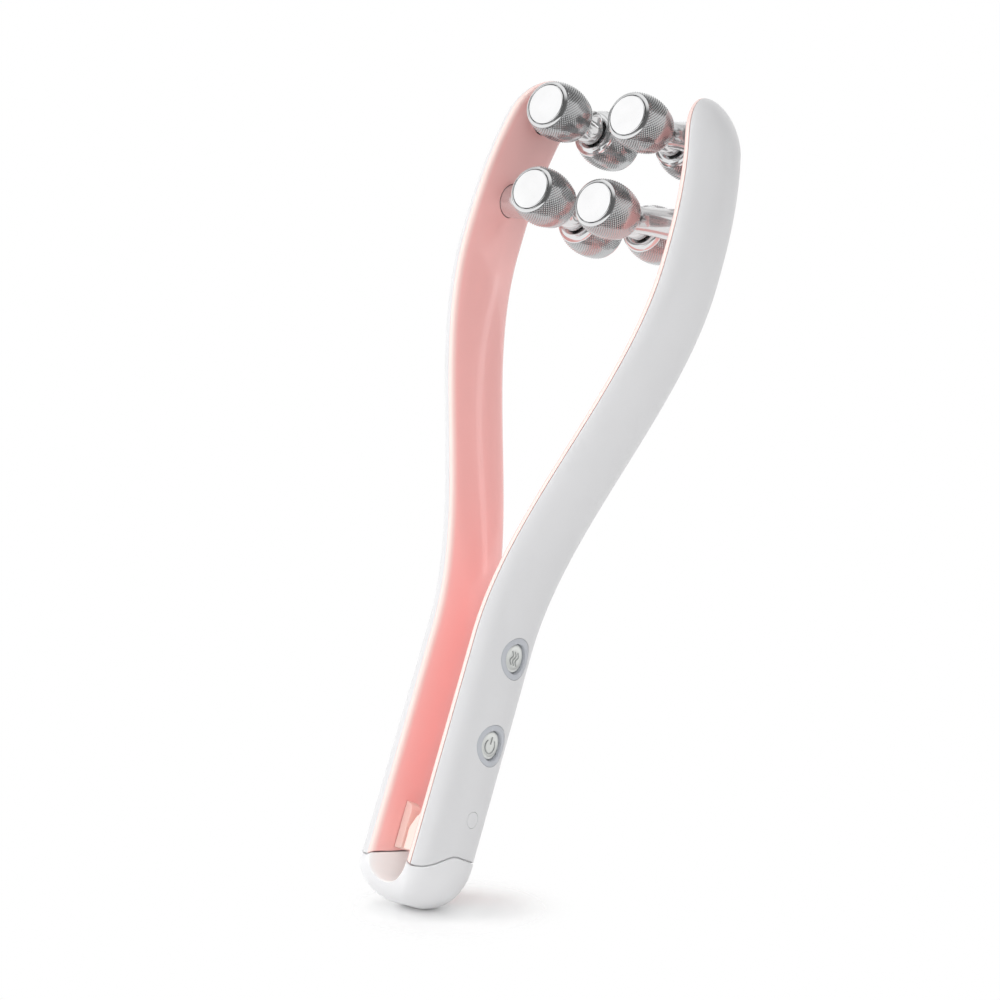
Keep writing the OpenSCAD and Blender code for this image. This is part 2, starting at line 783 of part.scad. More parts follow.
// Stem along X with its hub round the cross axle
module stem(side, level) {
    z = axle_z(level) + axle_drop;
    x = axle_x(level);
    neck_r = stem_neck_d / 2;
    base_r = stem_base_d / 2;
    nose = 1;
    shoulder = boss_start(z) - side_clearance - x;
    tail = boss_end(z) + thrust_gap - x;
    color(chrome) mirrored(side) difference() {
        union() {
            translate([x, 0, z]) rotate([0, 90, 0]) rotate_extrude() polygon([
                [0, -neck_r], [neck_r - nose, -neck_r], [neck_r - 0.3 * nose, -neck_r + 0.3 * nose],
                [neck_r, -neck_r + nose], [neck_r, neck_r + 1], [base_r, shoulder - 2], [base_r, shoulder],
                [journal_d / 2, shoulder], [journal_d / 2, tail], [0, tail]]);
            translate([x, 0, axle_z(level)]) rotate([-head_tilt(side, level), 0, 0])
                bar_y(0, 0, hub_d, 2 * (roller_start - side_clearance));
        }
        translate([x, 0, axle_z(level)]) rotate([-head_tilt(side, level), 0, 0])
            bar_y(0, 0, axle_d, 4 * hub_d);
        bar_x(x + tail - stud_length - seat_clearance, 0, z, stud_d + 2 * seat_clearance, 2 * stud_length);
    }
}

// Washer with a stud into the stem's tail and a tab that swings between the frame's posts
module stop_washer(side, level) {
    z = axle_z(level) + axle_drop;
    seat = boss_end(z) + thrust_gap;
    color(steel) mirrored(side) {
        bar_x(seat, 0, z, washer_d, washer_thickness);
        bar_x(seat - stud_length, 0, z, stud_d, stud_length + lap);
        translate([seat, 0, z]) rotate([-head_tilt(side, level), 0, 0])
            translate([0, -tab_width / 2, -tab_reach]) cube([washer_thickness, tab_width, tab_reach]);
    }
}

module axle(side, level) {
    color(steel) head_frame(side, level) bar_y(0, 0, axle_d, 2 * axle_half);
}

module clips(side, level) {
    color(dark) head_frame(side, level) for (end = [-1, 1])
        turned(end) translate([axle_d / 2, clip_start])
            square([(clip_d - axle_d) / 2, clip_thickness]);
}

// Rounded bevel from one [radius, distance] to another, the first point left out
function rounded_bevel(from, to) = [for (a = [18 : 18 : 90])
    [to[0] + (from[0] - to[0]) * pow(cos(a), 1.4), from[1] + (to[1] - from[1]) * pow(sin(a), 1.4)]];

// Barrel profile: bevelled collar, knurled crown and bevelled ring round a stepped bore
module roller(side, level, end) {
    steps = 12;
    crown_from = roller_start + collar_length;
    crown_to = roller_reach - ring_length;
    barrel_r = roller_d / 2;
    edges = [collar_edge_d / 2, ring_d / 2];
    ends = [crown_from, crown_to];
    function crown_r(s) = let (k = s < roller_centre ? 0 : 1)
        barrel_r - (barrel_r - edges[k]) * pow((s - roller_centre) / (ends[k] - roller_centre), 2);
    collar = rounded_bevel([edges[0], crown_from], [collar_d / 2, roller_start]);
    color(steel) head_frame(side, level) turned(end) polygon(concat(
        [[bore_d / 2, roller_start]],
        [for (k = [len(collar) - 1 : -1 : 0]) collar[k]],
        [for (k = [0 : steps]) let (s = crown_from + (crown_to - crown_from) * k / steps) [crown_r(s), s]],
        rounded_bevel([edges[1], crown_to], [ring_face_d / 2, roller_reach]),
        [[disc_d / 2, roller_reach], [disc_d / 2, disc_back],
         [pocket_d / 2, disc_back], [pocket_d / 2, core_end], [bore_d / 2, core_end]]));
}

// Mirror disc pressed into the outer end of a roller
module end_disc(side, level, end) {
    edge = 0.3;
    edge_r = disc_d / 2 - seat_clearance;
    color(mirror_white) head_frame(side, level) turned(end) polygon([
        [0, disc_back], [edge_r, disc_back], [edge_r, roller_reach + disc_proud - edge],
        [edge_r - edge, roller_reach + disc_proud], [0, roller_reach + disc_proud]]);
}

// ---- the nodes ------------------------------------------------------------

end_cap();
hinge_bracket();
hinge_pins();
return_springs();
charging_port();
port_tongue();
right_outer_shell();
liner();  // right_liner
right_arm_frame();
frame_screws();  // right_frame_screws
stop_pad(right_pad_top, 2 * low_face - left_pad_reach - pad_gap, right_pad_y);  // right_stop_pad
motor();  // right_motor
control_board();
board_screws();
tact_switches();
indicator_window();
button_rings();
power_button();
mode_button();
color(white) mirrored(-1) shell_solid();  // left_outer_shell
mirrored(-1) liner();  // left_liner
left_arm_frame();
mirrored(-1) frame_screws();  // left_frame_screws
mirrored(-1) stop_pad(left_pad_top, left_pad_reach, left_pad_y);  // left_stop_pad
mirrored(-1) motor();  // left_motor
battery();
stem(-1, 1);  // upper_left_stem
axle(-1, 1);  // upper_left_axle
stop_washer(-1, 1);  // upper_left_stop_washer
clips(-1, 1);  // upper_left_clips
roller(-1, 1, -1);  // upper_left_front_roller
end_disc(-1, 1, -1);  // upper_left_front_disc
roller(-1, 1, 1);  // upper_left_rear_roller
end_disc(-1, 1, 1);  // upper_left_rear_disc
stem(-1, -1);  // lower_left_stem
axle(-1, -1);  // lower_left_axle
stop_washer(-1, -1);  // lower_left_stop_washer
clips(-1, -1);  // lower_left_clips
roller(-1, -1, -1);  // lower_left_front_roller
end_disc(-1, -1, -1);  // lower_left_front_disc
roller(-1, -1, 1);  // lower_left_rear_roller
end_disc(-1, -1, 1);  // lower_left_rear_disc
stem(1, 1);  // upper_right_stem
axle(1, 1);  // upper_right_axle
stop_washer(1, 1);  // upper_right_stop_washer
clips(1, 1);  // upper_right_clips
roller(1, 1, -1);  // upper_right_front_roller
end_disc(1, 1, -1);  // upper_right_front_disc
roller(1, 1, 1);  // upper_right_rear_roller
end_disc(1, 1, 1);  // upper_right_rear_disc
stem(1, -1);  // lower_right_stem
axle(1, -1);  // lower_right_axle
stop_washer(1, -1);  // lower_right_stop_washer
clips(1, -1);  // lower_right_clips
roller(1, -1, -1);  // lower_right_front_roller
end_disc(1, -1, -1);  // lower_right_front_disc
roller(1, -1, 1);  // lower_right_rear_roller
end_disc(1, -1, 1);  // lower_right_rear_disc
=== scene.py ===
"""Dressed model of a hand-held facial toning device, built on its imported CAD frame.

Lengths are given in millimetres and made metres as a mesh is written. +Z runs from the end cap
to the tips, +X towards the arm with the buttons, and -Y is the front.
"""

import json
import logging
import math
from dataclasses import dataclass
from enum import Enum
from typing import Callable, Sequence

import bmesh
import bpy
from mathutils import Matrix, Vector

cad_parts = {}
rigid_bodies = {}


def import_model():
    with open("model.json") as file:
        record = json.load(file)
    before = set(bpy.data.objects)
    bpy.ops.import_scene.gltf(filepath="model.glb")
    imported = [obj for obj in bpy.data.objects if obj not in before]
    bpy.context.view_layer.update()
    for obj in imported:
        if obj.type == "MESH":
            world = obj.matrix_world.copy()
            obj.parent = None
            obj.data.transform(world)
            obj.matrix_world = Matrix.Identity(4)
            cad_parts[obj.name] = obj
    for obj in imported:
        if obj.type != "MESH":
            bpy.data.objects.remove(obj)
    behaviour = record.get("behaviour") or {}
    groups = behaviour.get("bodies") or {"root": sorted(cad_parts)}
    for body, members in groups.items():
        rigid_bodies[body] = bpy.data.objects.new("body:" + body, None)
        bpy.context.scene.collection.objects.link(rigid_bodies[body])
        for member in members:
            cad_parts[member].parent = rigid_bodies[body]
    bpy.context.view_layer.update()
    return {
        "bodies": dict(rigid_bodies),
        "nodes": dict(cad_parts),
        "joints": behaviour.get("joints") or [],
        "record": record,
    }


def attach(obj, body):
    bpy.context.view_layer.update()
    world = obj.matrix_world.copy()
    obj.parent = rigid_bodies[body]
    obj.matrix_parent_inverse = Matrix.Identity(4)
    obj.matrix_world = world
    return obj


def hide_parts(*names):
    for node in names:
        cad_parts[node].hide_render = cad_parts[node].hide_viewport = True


LOG = logging.getLogger("toning_device")
MM = 0.001
CLOSE = 1e-7
SHARP = math.radians(38)
BLUNT = math.radians(50)
ALONG_X = Matrix.Rotation(math.radians(90), 4, "Y")

Pair = tuple[float, float]
Point = tuple[float, float, float]
Colour = tuple[float, float, float]


class Side(Enum):
    """Arm of the device, as the sign of its place along X."""

    LEFT = -1
    RIGHT = 1

    @property
    def word(self) -> str:
        """Word for the side in the names of nodes."""
        return self.name.lower()


class Level(Enum):
    """Height of a head on its arm."""

    UPPER = "upper"
    LOWER = "lower"


class End(Enum):
    """End of a head's cross axle, as the sign of its place along Y."""

    FRONT = -1
    REAR = 1


# ---- numbers and lines ---------------------------------------------------------------


def srgb(*channels: int) -> Colour:
    """Turn an 8-bit display colour into a linear one.

    Args:
        channels: Red, green and blue from 0 to 255.

    Returns:
        The linear colour.
    """
    shares = [value / 255 for value in channels]
    return tuple(s / 12.92 if s <= 0.04045 else ((s + 0.055) / 1.055) ** 2.4 for s in shares)


def darker(colour: Colour, share: float) -> Colour:
    """Return a colour made darker by a share of itself."""
    return tuple(c * (1 - share) for c in colour)


def smooth(t: float) -> float:
    """Return the smooth step of t, held between 0 and 1."""
    c = min(1.0, max(0.0, t))
    return c * c * (3 - 2 * c)


def arc(centre: Pair, radii: Pair, start: float, stop: float, parts: int) -> list[Pair]:
    """Return evenly spaced points along an arc.

    Args:
        centre: Middle of the arc.
        radii: Its radius along each axis.
        start: Angle of the first point, in degrees.
        stop: Angle of the last point, in degrees.
        parts: Number of stretches.

    Returns:
        The points, both ends included.
    """
    angles = [math.radians(start + (stop - start) * k / parts) for k in range(parts + 1)]
    return [(centre[0] + radii[0] * math.cos(a), centre[1] + radii[1] * math.sin(a)) for a in angles]


def direction(path: Sequence[Pair], k: int) -> Vector:
    """Return the unit direction of a path at its point number k."""
    return (Vector(path[min(len(path) - 1, k + 1)]) - Vector(path[max(0, k - 1)])).normalized()


def beside(path: Sequence[Pair], distance: float) -> list[Pair]:
    """Return a path moved to its left by a distance, or to its right where that is negative."""
    ways = [direction(path, k) for k in range(len(path))]
    return [(a - way.y * distance, b + way.x * distance) for (a, b), way in zip(path, ways)]


def evenly(path: Sequence[Pair], parts: int) -> list[Pair]:
    """Return evenly spaced points along a path.

    Args:
        path: Points of the path.
        parts: Number of stretches.

    Returns:
        The points, both ends included.
    """
    lengths = [0.0]
    for a, b in zip(path, path[1:]):
        lengths.append(lengths[-1] + math.dist(a, b))
    out, k = [], 0
    for i in range(parts + 1):
        goal = lengths[-1] * i / parts
        while k < len(lengths) - 2 and lengths[k + 1] < goal:
            k += 1
        t = (goal - lengths[k]) / (lengths[k + 1] - lengths[k])
        out.append(tuple(a + (b - a) * t for a, b in zip(path[k], path[k + 1])))
    return out


# ---- finishes ------------------------------------------------------------------------


class NodeBench:
    """Helper that adds the nodes of one tree and fills their inputs."""

    def __init__(self, tree: bpy.types.NodeTree) -> None:
        """Remember the tree."""
        self.tree = tree

    def fill(self, node: bpy.types.Node, inputs: dict[str | int, object]) -> None:
        """Fill inputs of a node.

        Args:
            node: The node.
            inputs: Socket to link or value to set, by the input's name or number.
        """
        for key, value in inputs.items():
            if isinstance(value, bpy.types.NodeSocket):
                self.tree.links.new(value, node.inputs[key])
            else:
                node.inputs[key].default_value = value

    def node(self, kind: str, inputs: dict[str | int, object], **settings: object) -> bpy.types.Node:
        """Add a node.

        Args:
            kind: Type of the node.
            inputs: Its inputs, as for fill.
            settings: Properties to set on it.

        Returns:
            The new node.
        """
        made = self.tree.nodes.new(kind)
        for key, value in settings.items():
            setattr(made, key, value)
        self.fill(made, inputs)
        return made

    def maths(self, operation: str, *numbers: object) -> bpy.types.NodeSocket:
        """Add a calculation with numbers or sockets and return its result."""
        return self.node("ShaderNodeMath", dict(enumerate(numbers)), operation=operation).outputs["Value"]

    def ramp(self, source: object, start: float, stop: float, low: float, high: float,
             kind: str = "LINEAR") -> bpy.types.NodeSocket:
        """Map a value from one range to another and hold it there.

        Args:
            source: Socket of the value.
            start: Value that becomes low.
            stop: Value that becomes high.
            low: Result at the start.
            high: Result at the stop.
            kind: Course between them.

        Returns:
            The mapped value.
        """
        inputs = {"Value": source, "From Min": start, "From Max": stop, "To Min": low, "To Max": high}
        return self.node("ShaderNodeMapRange", inputs, interpolation_type=kind).outputs["Result"]

    def light(self, kind: str, strength: object) -> bpy.types.NodeSocket:
        """Add white light of a kind, Emission or Background, and return its shader."""
        return self.node(f"ShaderNode{kind}", {"Color": (1, 1, 1, 1), "Strength": strength}).outputs[kind]

    def blend(self, share: object, first: object, second: object) -> bpy.types.NodeSocket:
        """Mix two shaders, all first at a share of 0 and all second at 1."""
        return self.node("ShaderNodeMixShader", {"Fac": share, 1: first, 2: second}).outputs["Shader"]


class Paint(NodeBench):
    """Material in the making, round one Principled shader."""

    NOISE_RANGE = (0.3, 0.7)

    def __init__(self, name: str) -> None:
        """Start a material of a name."""
        self.material = bpy.data.materials.new(name)
        self.material.use_nodes = True
        super().__init__(self.material.node_tree)
        self.shader = self.tree.nodes["Principled BSDF"]
        self.place = self.node("ShaderNodeTexCoord", {}).outputs["Object"]

    def noise(self, scale: float, detail: float, place: object = None) -> bpy.types.NodeSocket:
        """Add noise.

        Args:
            scale: Cells in a metre.
            detail: Octaves of finer noise.
            place: Socket of the coordinates, or None for the piece's own.

        Returns:
            The noise's value.
        """
        inputs = {"Vector": place or self.place, "Scale": scale, "Detail": detail}
        return self.node("ShaderNodeTexNoise", inputs).outputs["Fac"]

    def spread(self, noise: object, low: float, high: float) -> bpy.types.NodeSocket:
        """Map the usual range of noise to a low and a high value."""
        return self.ramp(noise, *self.NOISE_RANGE, low, high)

    def tint(self, share: object, low: object, high: object) -> bpy.types.NodeSocket:
        """Blend the base colour between two shades.

        Args:
            share: Socket that drives the blend, from 0 to 1.
            low: Colour or socket at 0.
            high: Colour at 1.

        Returns:
            The blended colour.
        """
        start = (*low, 1) if isinstance(low, tuple) else low
        made = self.node("ShaderNodeMix", {"Factor": share, "A": start, "B": (*high, 1)}, data_type="RGBA")
        self.fill(self.shader, {"Base Color": made.outputs["Result"]})
        return made.outputs["Result"]

    def skin(self, roughness: object, relief: object, strength: float, height: float = 0.02) -> None:
        """Set the roughness and raise a fine relief.

        Args:
            roughness: Socket of the roughness.
            relief: Socket of the relief, from 0 to 1.
            strength: Strength of the relief.
            height: Height of the relief in millimetres.
        """
        bump = self.node("ShaderNodeBump", {"Height": relief, "Strength": strength, "Distance": height * MM})
        self.fill(self.shader, {"Roughness": roughness, "Normal": bump.outputs["Normal"]})


@dataclass(frozen=True)
class MouldedPlastic:
    """Injection-moulded plastic with faint flow marks and a fine skin."""

    name: str
    colour: Colour
    roughness: float
    coat: float = 0.0
    relief: float = 0.03
    shade: float = 0.02
    # Colour of painted light, blended in by the piece's rim attribute, or None for none.
    edge: Colour | None = None
    coat_roughness: float = 0.06
    flow_scale: float = 45.0
    grain_scale: float = 900.0
    grain_change: float = 0.06

    def build(self) -> bpy.types.Material:
        """Make the material, paler with painted light where the piece's rim attribute says so.

        Returns:
            The plastic.
        """
        paint = Paint(self.name)
        flow = paint.spread(paint.noise(self.flow_scale, detail=2), 0, 1)
        colour = paint.tint(flow, darker(self.colour, self.shade), self.colour)
        # Painted light: the paler edge colour is blended in where the rim attribute is high.
        if self.edge:
            rim = paint.node("ShaderNodeAttribute", {}, attribute_name="rim").outputs["Fac"]
            paint.tint(rim, colour, self.edge)
        grain = paint.noise(self.grain_scale, detail=1)
        change = self.roughness * self.grain_change
        paint.skin(paint.spread(grain, self.roughness - change, self.roughness + change), grain, self.relief)
        paint.fill(paint.shader, {"Coat Weight": self.coat, "Coat Roughness": self.coat_roughness})
        return paint.material


@dataclass(frozen=True)
class PlatedMetal:
    """Polished plating with the faint orange peel and haze of a plated casting."""

    name: str
    colour: Colour
    roughness: float
    haze: float = 0.06
    peel: float = 0.05
    metal: float = 1.0
    shade: float = 0.06
    cloud_scale: float = 130.0
    grain_scale: float = 900.0
    peel_scale: float = 420.0

    def build(self) -> bpy.types.Material:
        """Make the material.

        Returns:
            The metal.
        """
        paint = Paint(self.name)
        cloud = paint.spread(paint.noise(self.cloud_scale, detail=3), 0, 1)
        paint.tint(cloud, darker(self.colour, self.shade), self.colour)
        grain = paint.noise(self.grain_scale, detail=4)
        haze = paint.spread(grain, self.roughness, self.roughness + self.haze)
        paint.skin(haze, paint.noise(self.peel_scale, detail=2), self.peel)
        paint.fill(paint.shader, {"Metallic": self.metal})
        return paint.material


@dataclass(frozen=True)
class BrushedMetal:
    """Machined metal with fine lines along one axis."""

    name: str
    colour: Colour
    roughness: float
    lines: Point = (3000, 3000, 60)
    shade: float = 0.15
    haze: float = 0.15
    relief: float = 0.2

    def build(self) -> bpy.types.Material:
        """Make the material.

        Returns:
            The metal.
        """
        paint = Paint(self.name)
        stretch = paint.node("ShaderNodeMapping", {"Vector": paint.place, "Scale": self.lines})
        brush = paint.noise(scale=1, detail=2, place=stretch.outputs["Vector"])
        paint.tint(brush, darker(self.colour, self.shade), self.colour)
        paint.skin(paint.spread(brush, self.roughness, self.roughness + self.haze), brush, self.relief)
        paint.fill(paint.shader, {"Metallic": 1})
        return paint.material


@dataclass(frozen=True)
class SolderMask:
    """Green circuit-board lacquer over copper tracks."""

    name: str
    colour: Colour
    track: Colour
    roughness: Pair = (0.35, 0.5)
    grain_scale: float = 800.0
    cell_scale: float = 420.0
    track_width: float = 0.05
    relief: float = 0.3
    relief_height: float = 0.03

    def build(self) -> bpy.types.Material:
        """Make the material.

        Returns:
            The lacquer.
        """
        paint = Paint(self.name)
        cells = paint.node("ShaderNodeTexVoronoi", {"Vector": paint.place, "Scale": self.cell_scale},
                           feature="DISTANCE_TO_EDGE")
        track = paint.maths("LESS_THAN", cells.outputs["Distance"], self.track_width)
        paint.tint(track, self.colour, self.track)
        grain = paint.noise(self.grain_scale, detail=3)
        paint.skin(paint.spread(grain, *self.roughness), track, self.relief, self.relief_height)
        return paint.material


@dataclass(frozen=True)
class Palette:
    """Every finish of the device."""

    white: MouldedPlastic = MouldedPlastic("white_gloss_plastic", (0.705, 0.705, 0.715), 0.32, 0.12, 0.015)
    # The cap's paler second colour is painted light in its shaded channel.
    cap_white: MouldedPlastic = MouldedPlastic("white_cap_plastic", (0.76, 0.76, 0.77), 0.34, 0.1, 0.015,
                                               0.02, (0.92, 0.92, 0.91))
    # The pink's paler second colour is a painted highlight along the liner's rim.
    pink: MouldedPlastic = MouldedPlastic("pink_gloss_plastic", srgb(249, 191, 187), 0.24, 0.4, 0.008, 0.01,
                                          srgb(248, 219, 213))
    pale_pink: MouldedPlastic = MouldedPlastic("pale_pink_rubber", srgb(252, 221, 212), 0.45)
    ring_grey: MouldedPlastic = MouldedPlastic("ring_grey_plastic", srgb(188, 191, 197), 0.35)
    window: MouldedPlastic = MouldedPlastic("window_plastic", (0.71, 0.71, 0.72), 0.3, 0.12, 0.015)
    dark: MouldedPlastic = MouldedPlastic("dark_frame_plastic", srgb(52, 52, 56), 0.5, 0.0, 0.2, 0.15)
    chrome: PlatedMetal = PlatedMetal("polished_chrome", (0.82, 0.825, 0.83), 0.09, 0.04, 0.006)
    stem: PlatedMetal = PlatedMetal("silvered_stem", (0.78, 0.78, 0.785), 0.1, 0.05, 0.006, 0.8)
    knurl: PlatedMetal = PlatedMetal("knurled_chrome", (0.56, 0.565, 0.57), 0.14, 0.04, 0.0)
    mirror: PlatedMetal = PlatedMetal("mirror_disc", (0.98, 0.98, 0.985), 0.04, 0.03, 0.01)
    key: PlatedMetal = PlatedMetal("satin_key_metal", (0.80, 0.815, 0.795), 0.38, 0.12, 0.35)
    mark: PlatedMetal = PlatedMetal("key_mark_metal", (0.46, 0.47, 0.465), 0.35, 0.1)
    steel: BrushedMetal = BrushedMetal("brushed_steel", srgb(190, 192, 195), 0.25)
    spring: BrushedMetal = BrushedMetal("oiled_spring_steel", srgb(74, 75, 80), 0.3, (2500, 2500, 2500))
    foil: BrushedMetal = BrushedMetal("rolled_foil", srgb(206, 208, 212), 0.3, (90, 1200, 1200))
    board: SolderMask = SolderMask("green_solder_mask", srgb(28, 92, 52), srgb(84, 140, 74))


class Finishes:
    """The palette's materials, each made once."""

    def __init__(self, palette: Palette) -> None:
        """Remember the palette."""
        self._palette = palette
        self._made: dict[str, bpy.types.Material] = {}

    def get(self, name: str) -> bpy.types.Material:
        """Return the material of a finish.

        Args:
            name: Field of the palette.

        Returns:
            The material.
        """
        if name not in self._made:
            self._made[name] = getattr(self._palette, name).build()
        return self._made[name]


# ---- meshes --------------------------------------------------------------------------


class Sheet:
    """Mesh in the making, from rows of points in millimetres."""

    def __init__(self) -> None:
        """Start an empty mesh."""
        self.mesh = bmesh.new()

    def row(self, points: Sequence[Point]) -> list[bmesh.types.BMVert]:
        """Add a row of points and return its vertices."""
        return [self.mesh.verts.new(Vector(p) * MM) for p in points]

    def strip(self, low: Sequence, high: Sequence, ring: bool = False) -> None:
        """Join two rows of vertices with quads.

        Args:
            low: One row.
            high: The other row, of the same length.
            ring: Whether each row closes on itself.
        """
        for i in range(len(low) if ring else len(low) - 1):
            j = (i + 1) % len(low)
            self.mesh.faces.new((low[i], low[j], high[j], high[i]))

    def loft(self, rows: Sequence[Sequence[Point]], ring: bool = False, closed: bool = False) -> list[list]:
        """Join rows of points with quads.

        Args:
            rows: Rows with the same number of points.
            ring: Whether each row closes on itself.
            closed: Whether the last row joins the first.

        Returns:
            The rows of vertices.
        """
        grid = [self.row(points) for points in rows]
        for low, high in zip(grid, grid[1:] + grid[:1] if closed else grid[1:]):
            self.strip(low, high, ring)
        return grid

    def bar(self, rings: Sequence[Sequence[Point]]) -> None:
        """Join rings of points into a solid with a flat face at both ends.

        Args:
            rings: Rings with the same number of points.
        """
        grid = self.loft(rings, ring=True)
        self.mesh.faces.new(list(reversed(grid[0])))
        self.mesh.faces.new(grid[-1])

    def dome(self, rings: Sequence[Sequence[Point]], tip: Point) -> None:
        """Join rings of points into a solid with a flat foot and a top that meets in one point.

        Args:
            rings: Rings with the same number of points, from the foot up.
            tip: The point, in millimetres.
        """
        grid = self.loft(rings, ring=True)
        self.mesh.faces.new(list(reversed(grid[0])))
        self.fan(grid[-1], tip)

    def skin(self, outer_rows: Sequence[Sequence[Point]], inner_rows: Sequence[Sequence[Point]]) -> None:
        """Join two open sheets along their four sides.

        Args:
            outer_rows: Rows of one sheet.
            inner_rows: Rows of the other sheet, as many and as long.
        """
        outer, inner = self.loft(outer_rows), self.loft(inner_rows)
        for last in (0, -1):
            self.strip(outer[last], inner[last])
            self.strip([row[last] for row in outer], [row[last] for row in inner])

    def fan(self, rim: Sequence[bmesh.types.BMVert], tip: Point) -> None:
        """Close a ring of vertices to one point.

        Args:
            rim: The ring.
            tip: The point, in millimetres.
        """
        apex = self.row([tip])[0]
        for i, vert in enumerate(rim):
            self.mesh.faces.new((vert, rim[(i + 1) % len(rim)], apex))

    def lathe(self, profile: Sequence[Pair], frame: Matrix, steps: int = 96) -> None:
        """Turn a profile about the local Z axis of a frame.

        Args:
            profile: Pairs of radius and distance along the axis, a radius of 0 only at its ends.
            frame: Placing of the axis, in millimetres.
            steps: Points round the axis.
        """
        rings = [[frame @ Vector((x, y, along)) for x, y in arc((0, 0), (radius, radius), 0, 360, steps)[:-1]]
                 for radius, along in profile if radius]
        tips = [last for last in (0, -1) if not profile[last][0]]
        grid = self.loft(rings, ring=True, closed=not tips)
        for last in tips:
            self.fan(grid[last], frame @ Vector((0, 0, profile[last][1])))

    def finish(self, name: str, material: bpy.types.Material | None = None,
               sharp: float = SHARP) -> bpy.types.Object:
        """Turn the mesh into a shaded object.

        Args:
            name: Name of the object.
            material: Its material, or None for a cutter.
            sharp: Angle past which an edge is shaded sharp.

        Returns:
            The object.
        """
        bmesh.ops.recalc_face_normals(self.mesh, faces=self.mesh.faces)
        data = bpy.data.meshes.new(name)
        self.mesh.to_mesh(data)
        self.mesh.free()
        if material:
            data.materials.append(material)
        data.shade_smooth()
        data.set_sharp_from_angle(angle=sharp)
        made = bpy.data.objects.new(name, data)
        bpy.context.scene.collection.objects.link(made)
        return made


def evaluate(piece: bpy.types.Object) -> None:
    """Put what the modifiers of a piece make in the place of its mesh.

    Args:
        piece: The piece.
    """
    graph = bpy.context.evaluated_depsgraph_get()
    data = bpy.data.meshes.new_from_object(piece.evaluated_get(graph))
    piece.modifiers.clear()
    piece.data = data


def cut(piece: bpy.types.Object, cutters: Sequence[bpy.types.Object]) -> None:
    """Cut closed solids out of a piece and drop them.

    Args:
        piece: The piece.
        cutters: The solids.
    """
    for cutter in cutters:
        step = piece.modifiers.new("cut", "BOOLEAN")
        step.operation, step.solver, step.object = "DIFFERENCE", "EXACT", cutter
    evaluate(piece)
    piece.data.shade_smooth()
    piece.data.set_sharp_from_angle(angle=SHARP)
    for cutter in cutters:
        bpy.data.objects.remove(cutter)


def rod(height: float, radius: float, reach: Pair) -> bpy.types.Object:
    """Make a round cutter along X.

    Args:
        height: Height of its axis.
        radius: Its radius.
        reach: Where it starts and ends along X.

    Returns:
        The cutter.
    """
    sheet = Sheet()
    sheet.lathe([(0, reach[0]), (radius, reach[0]), (radius, reach[1]), (0, reach[1])],
                Matrix.Translation((0, 0, height)) @ ALONG_X)
    return sheet.finish("rod_cutter")


def mark_rim(mesh: bpy.types.Mesh, domain: str, values: list[float]) -> None:
    """Store values on a mesh as the rim attribute: the share of painted light that plastic with a
    painted-light colour blends in.
    """
    mesh.attributes.new("rim", "FLOAT", domain).data.foreach_set("value", values)


def enter(piece: bpy.types.Object, body: str, node: str = "") -> None:
    """Enter a finished piece in the frame.

    Args:
        piece: The piece.
        body: CAD body that carries the piece.
        node: CAD node whose place the piece takes, if any.
    """
    if node:
        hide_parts(node)
    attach(piece, body)
    LOG.info("%s rides on %s", piece.name, body)


# ---- arms ----------------------------------------------------------------------------


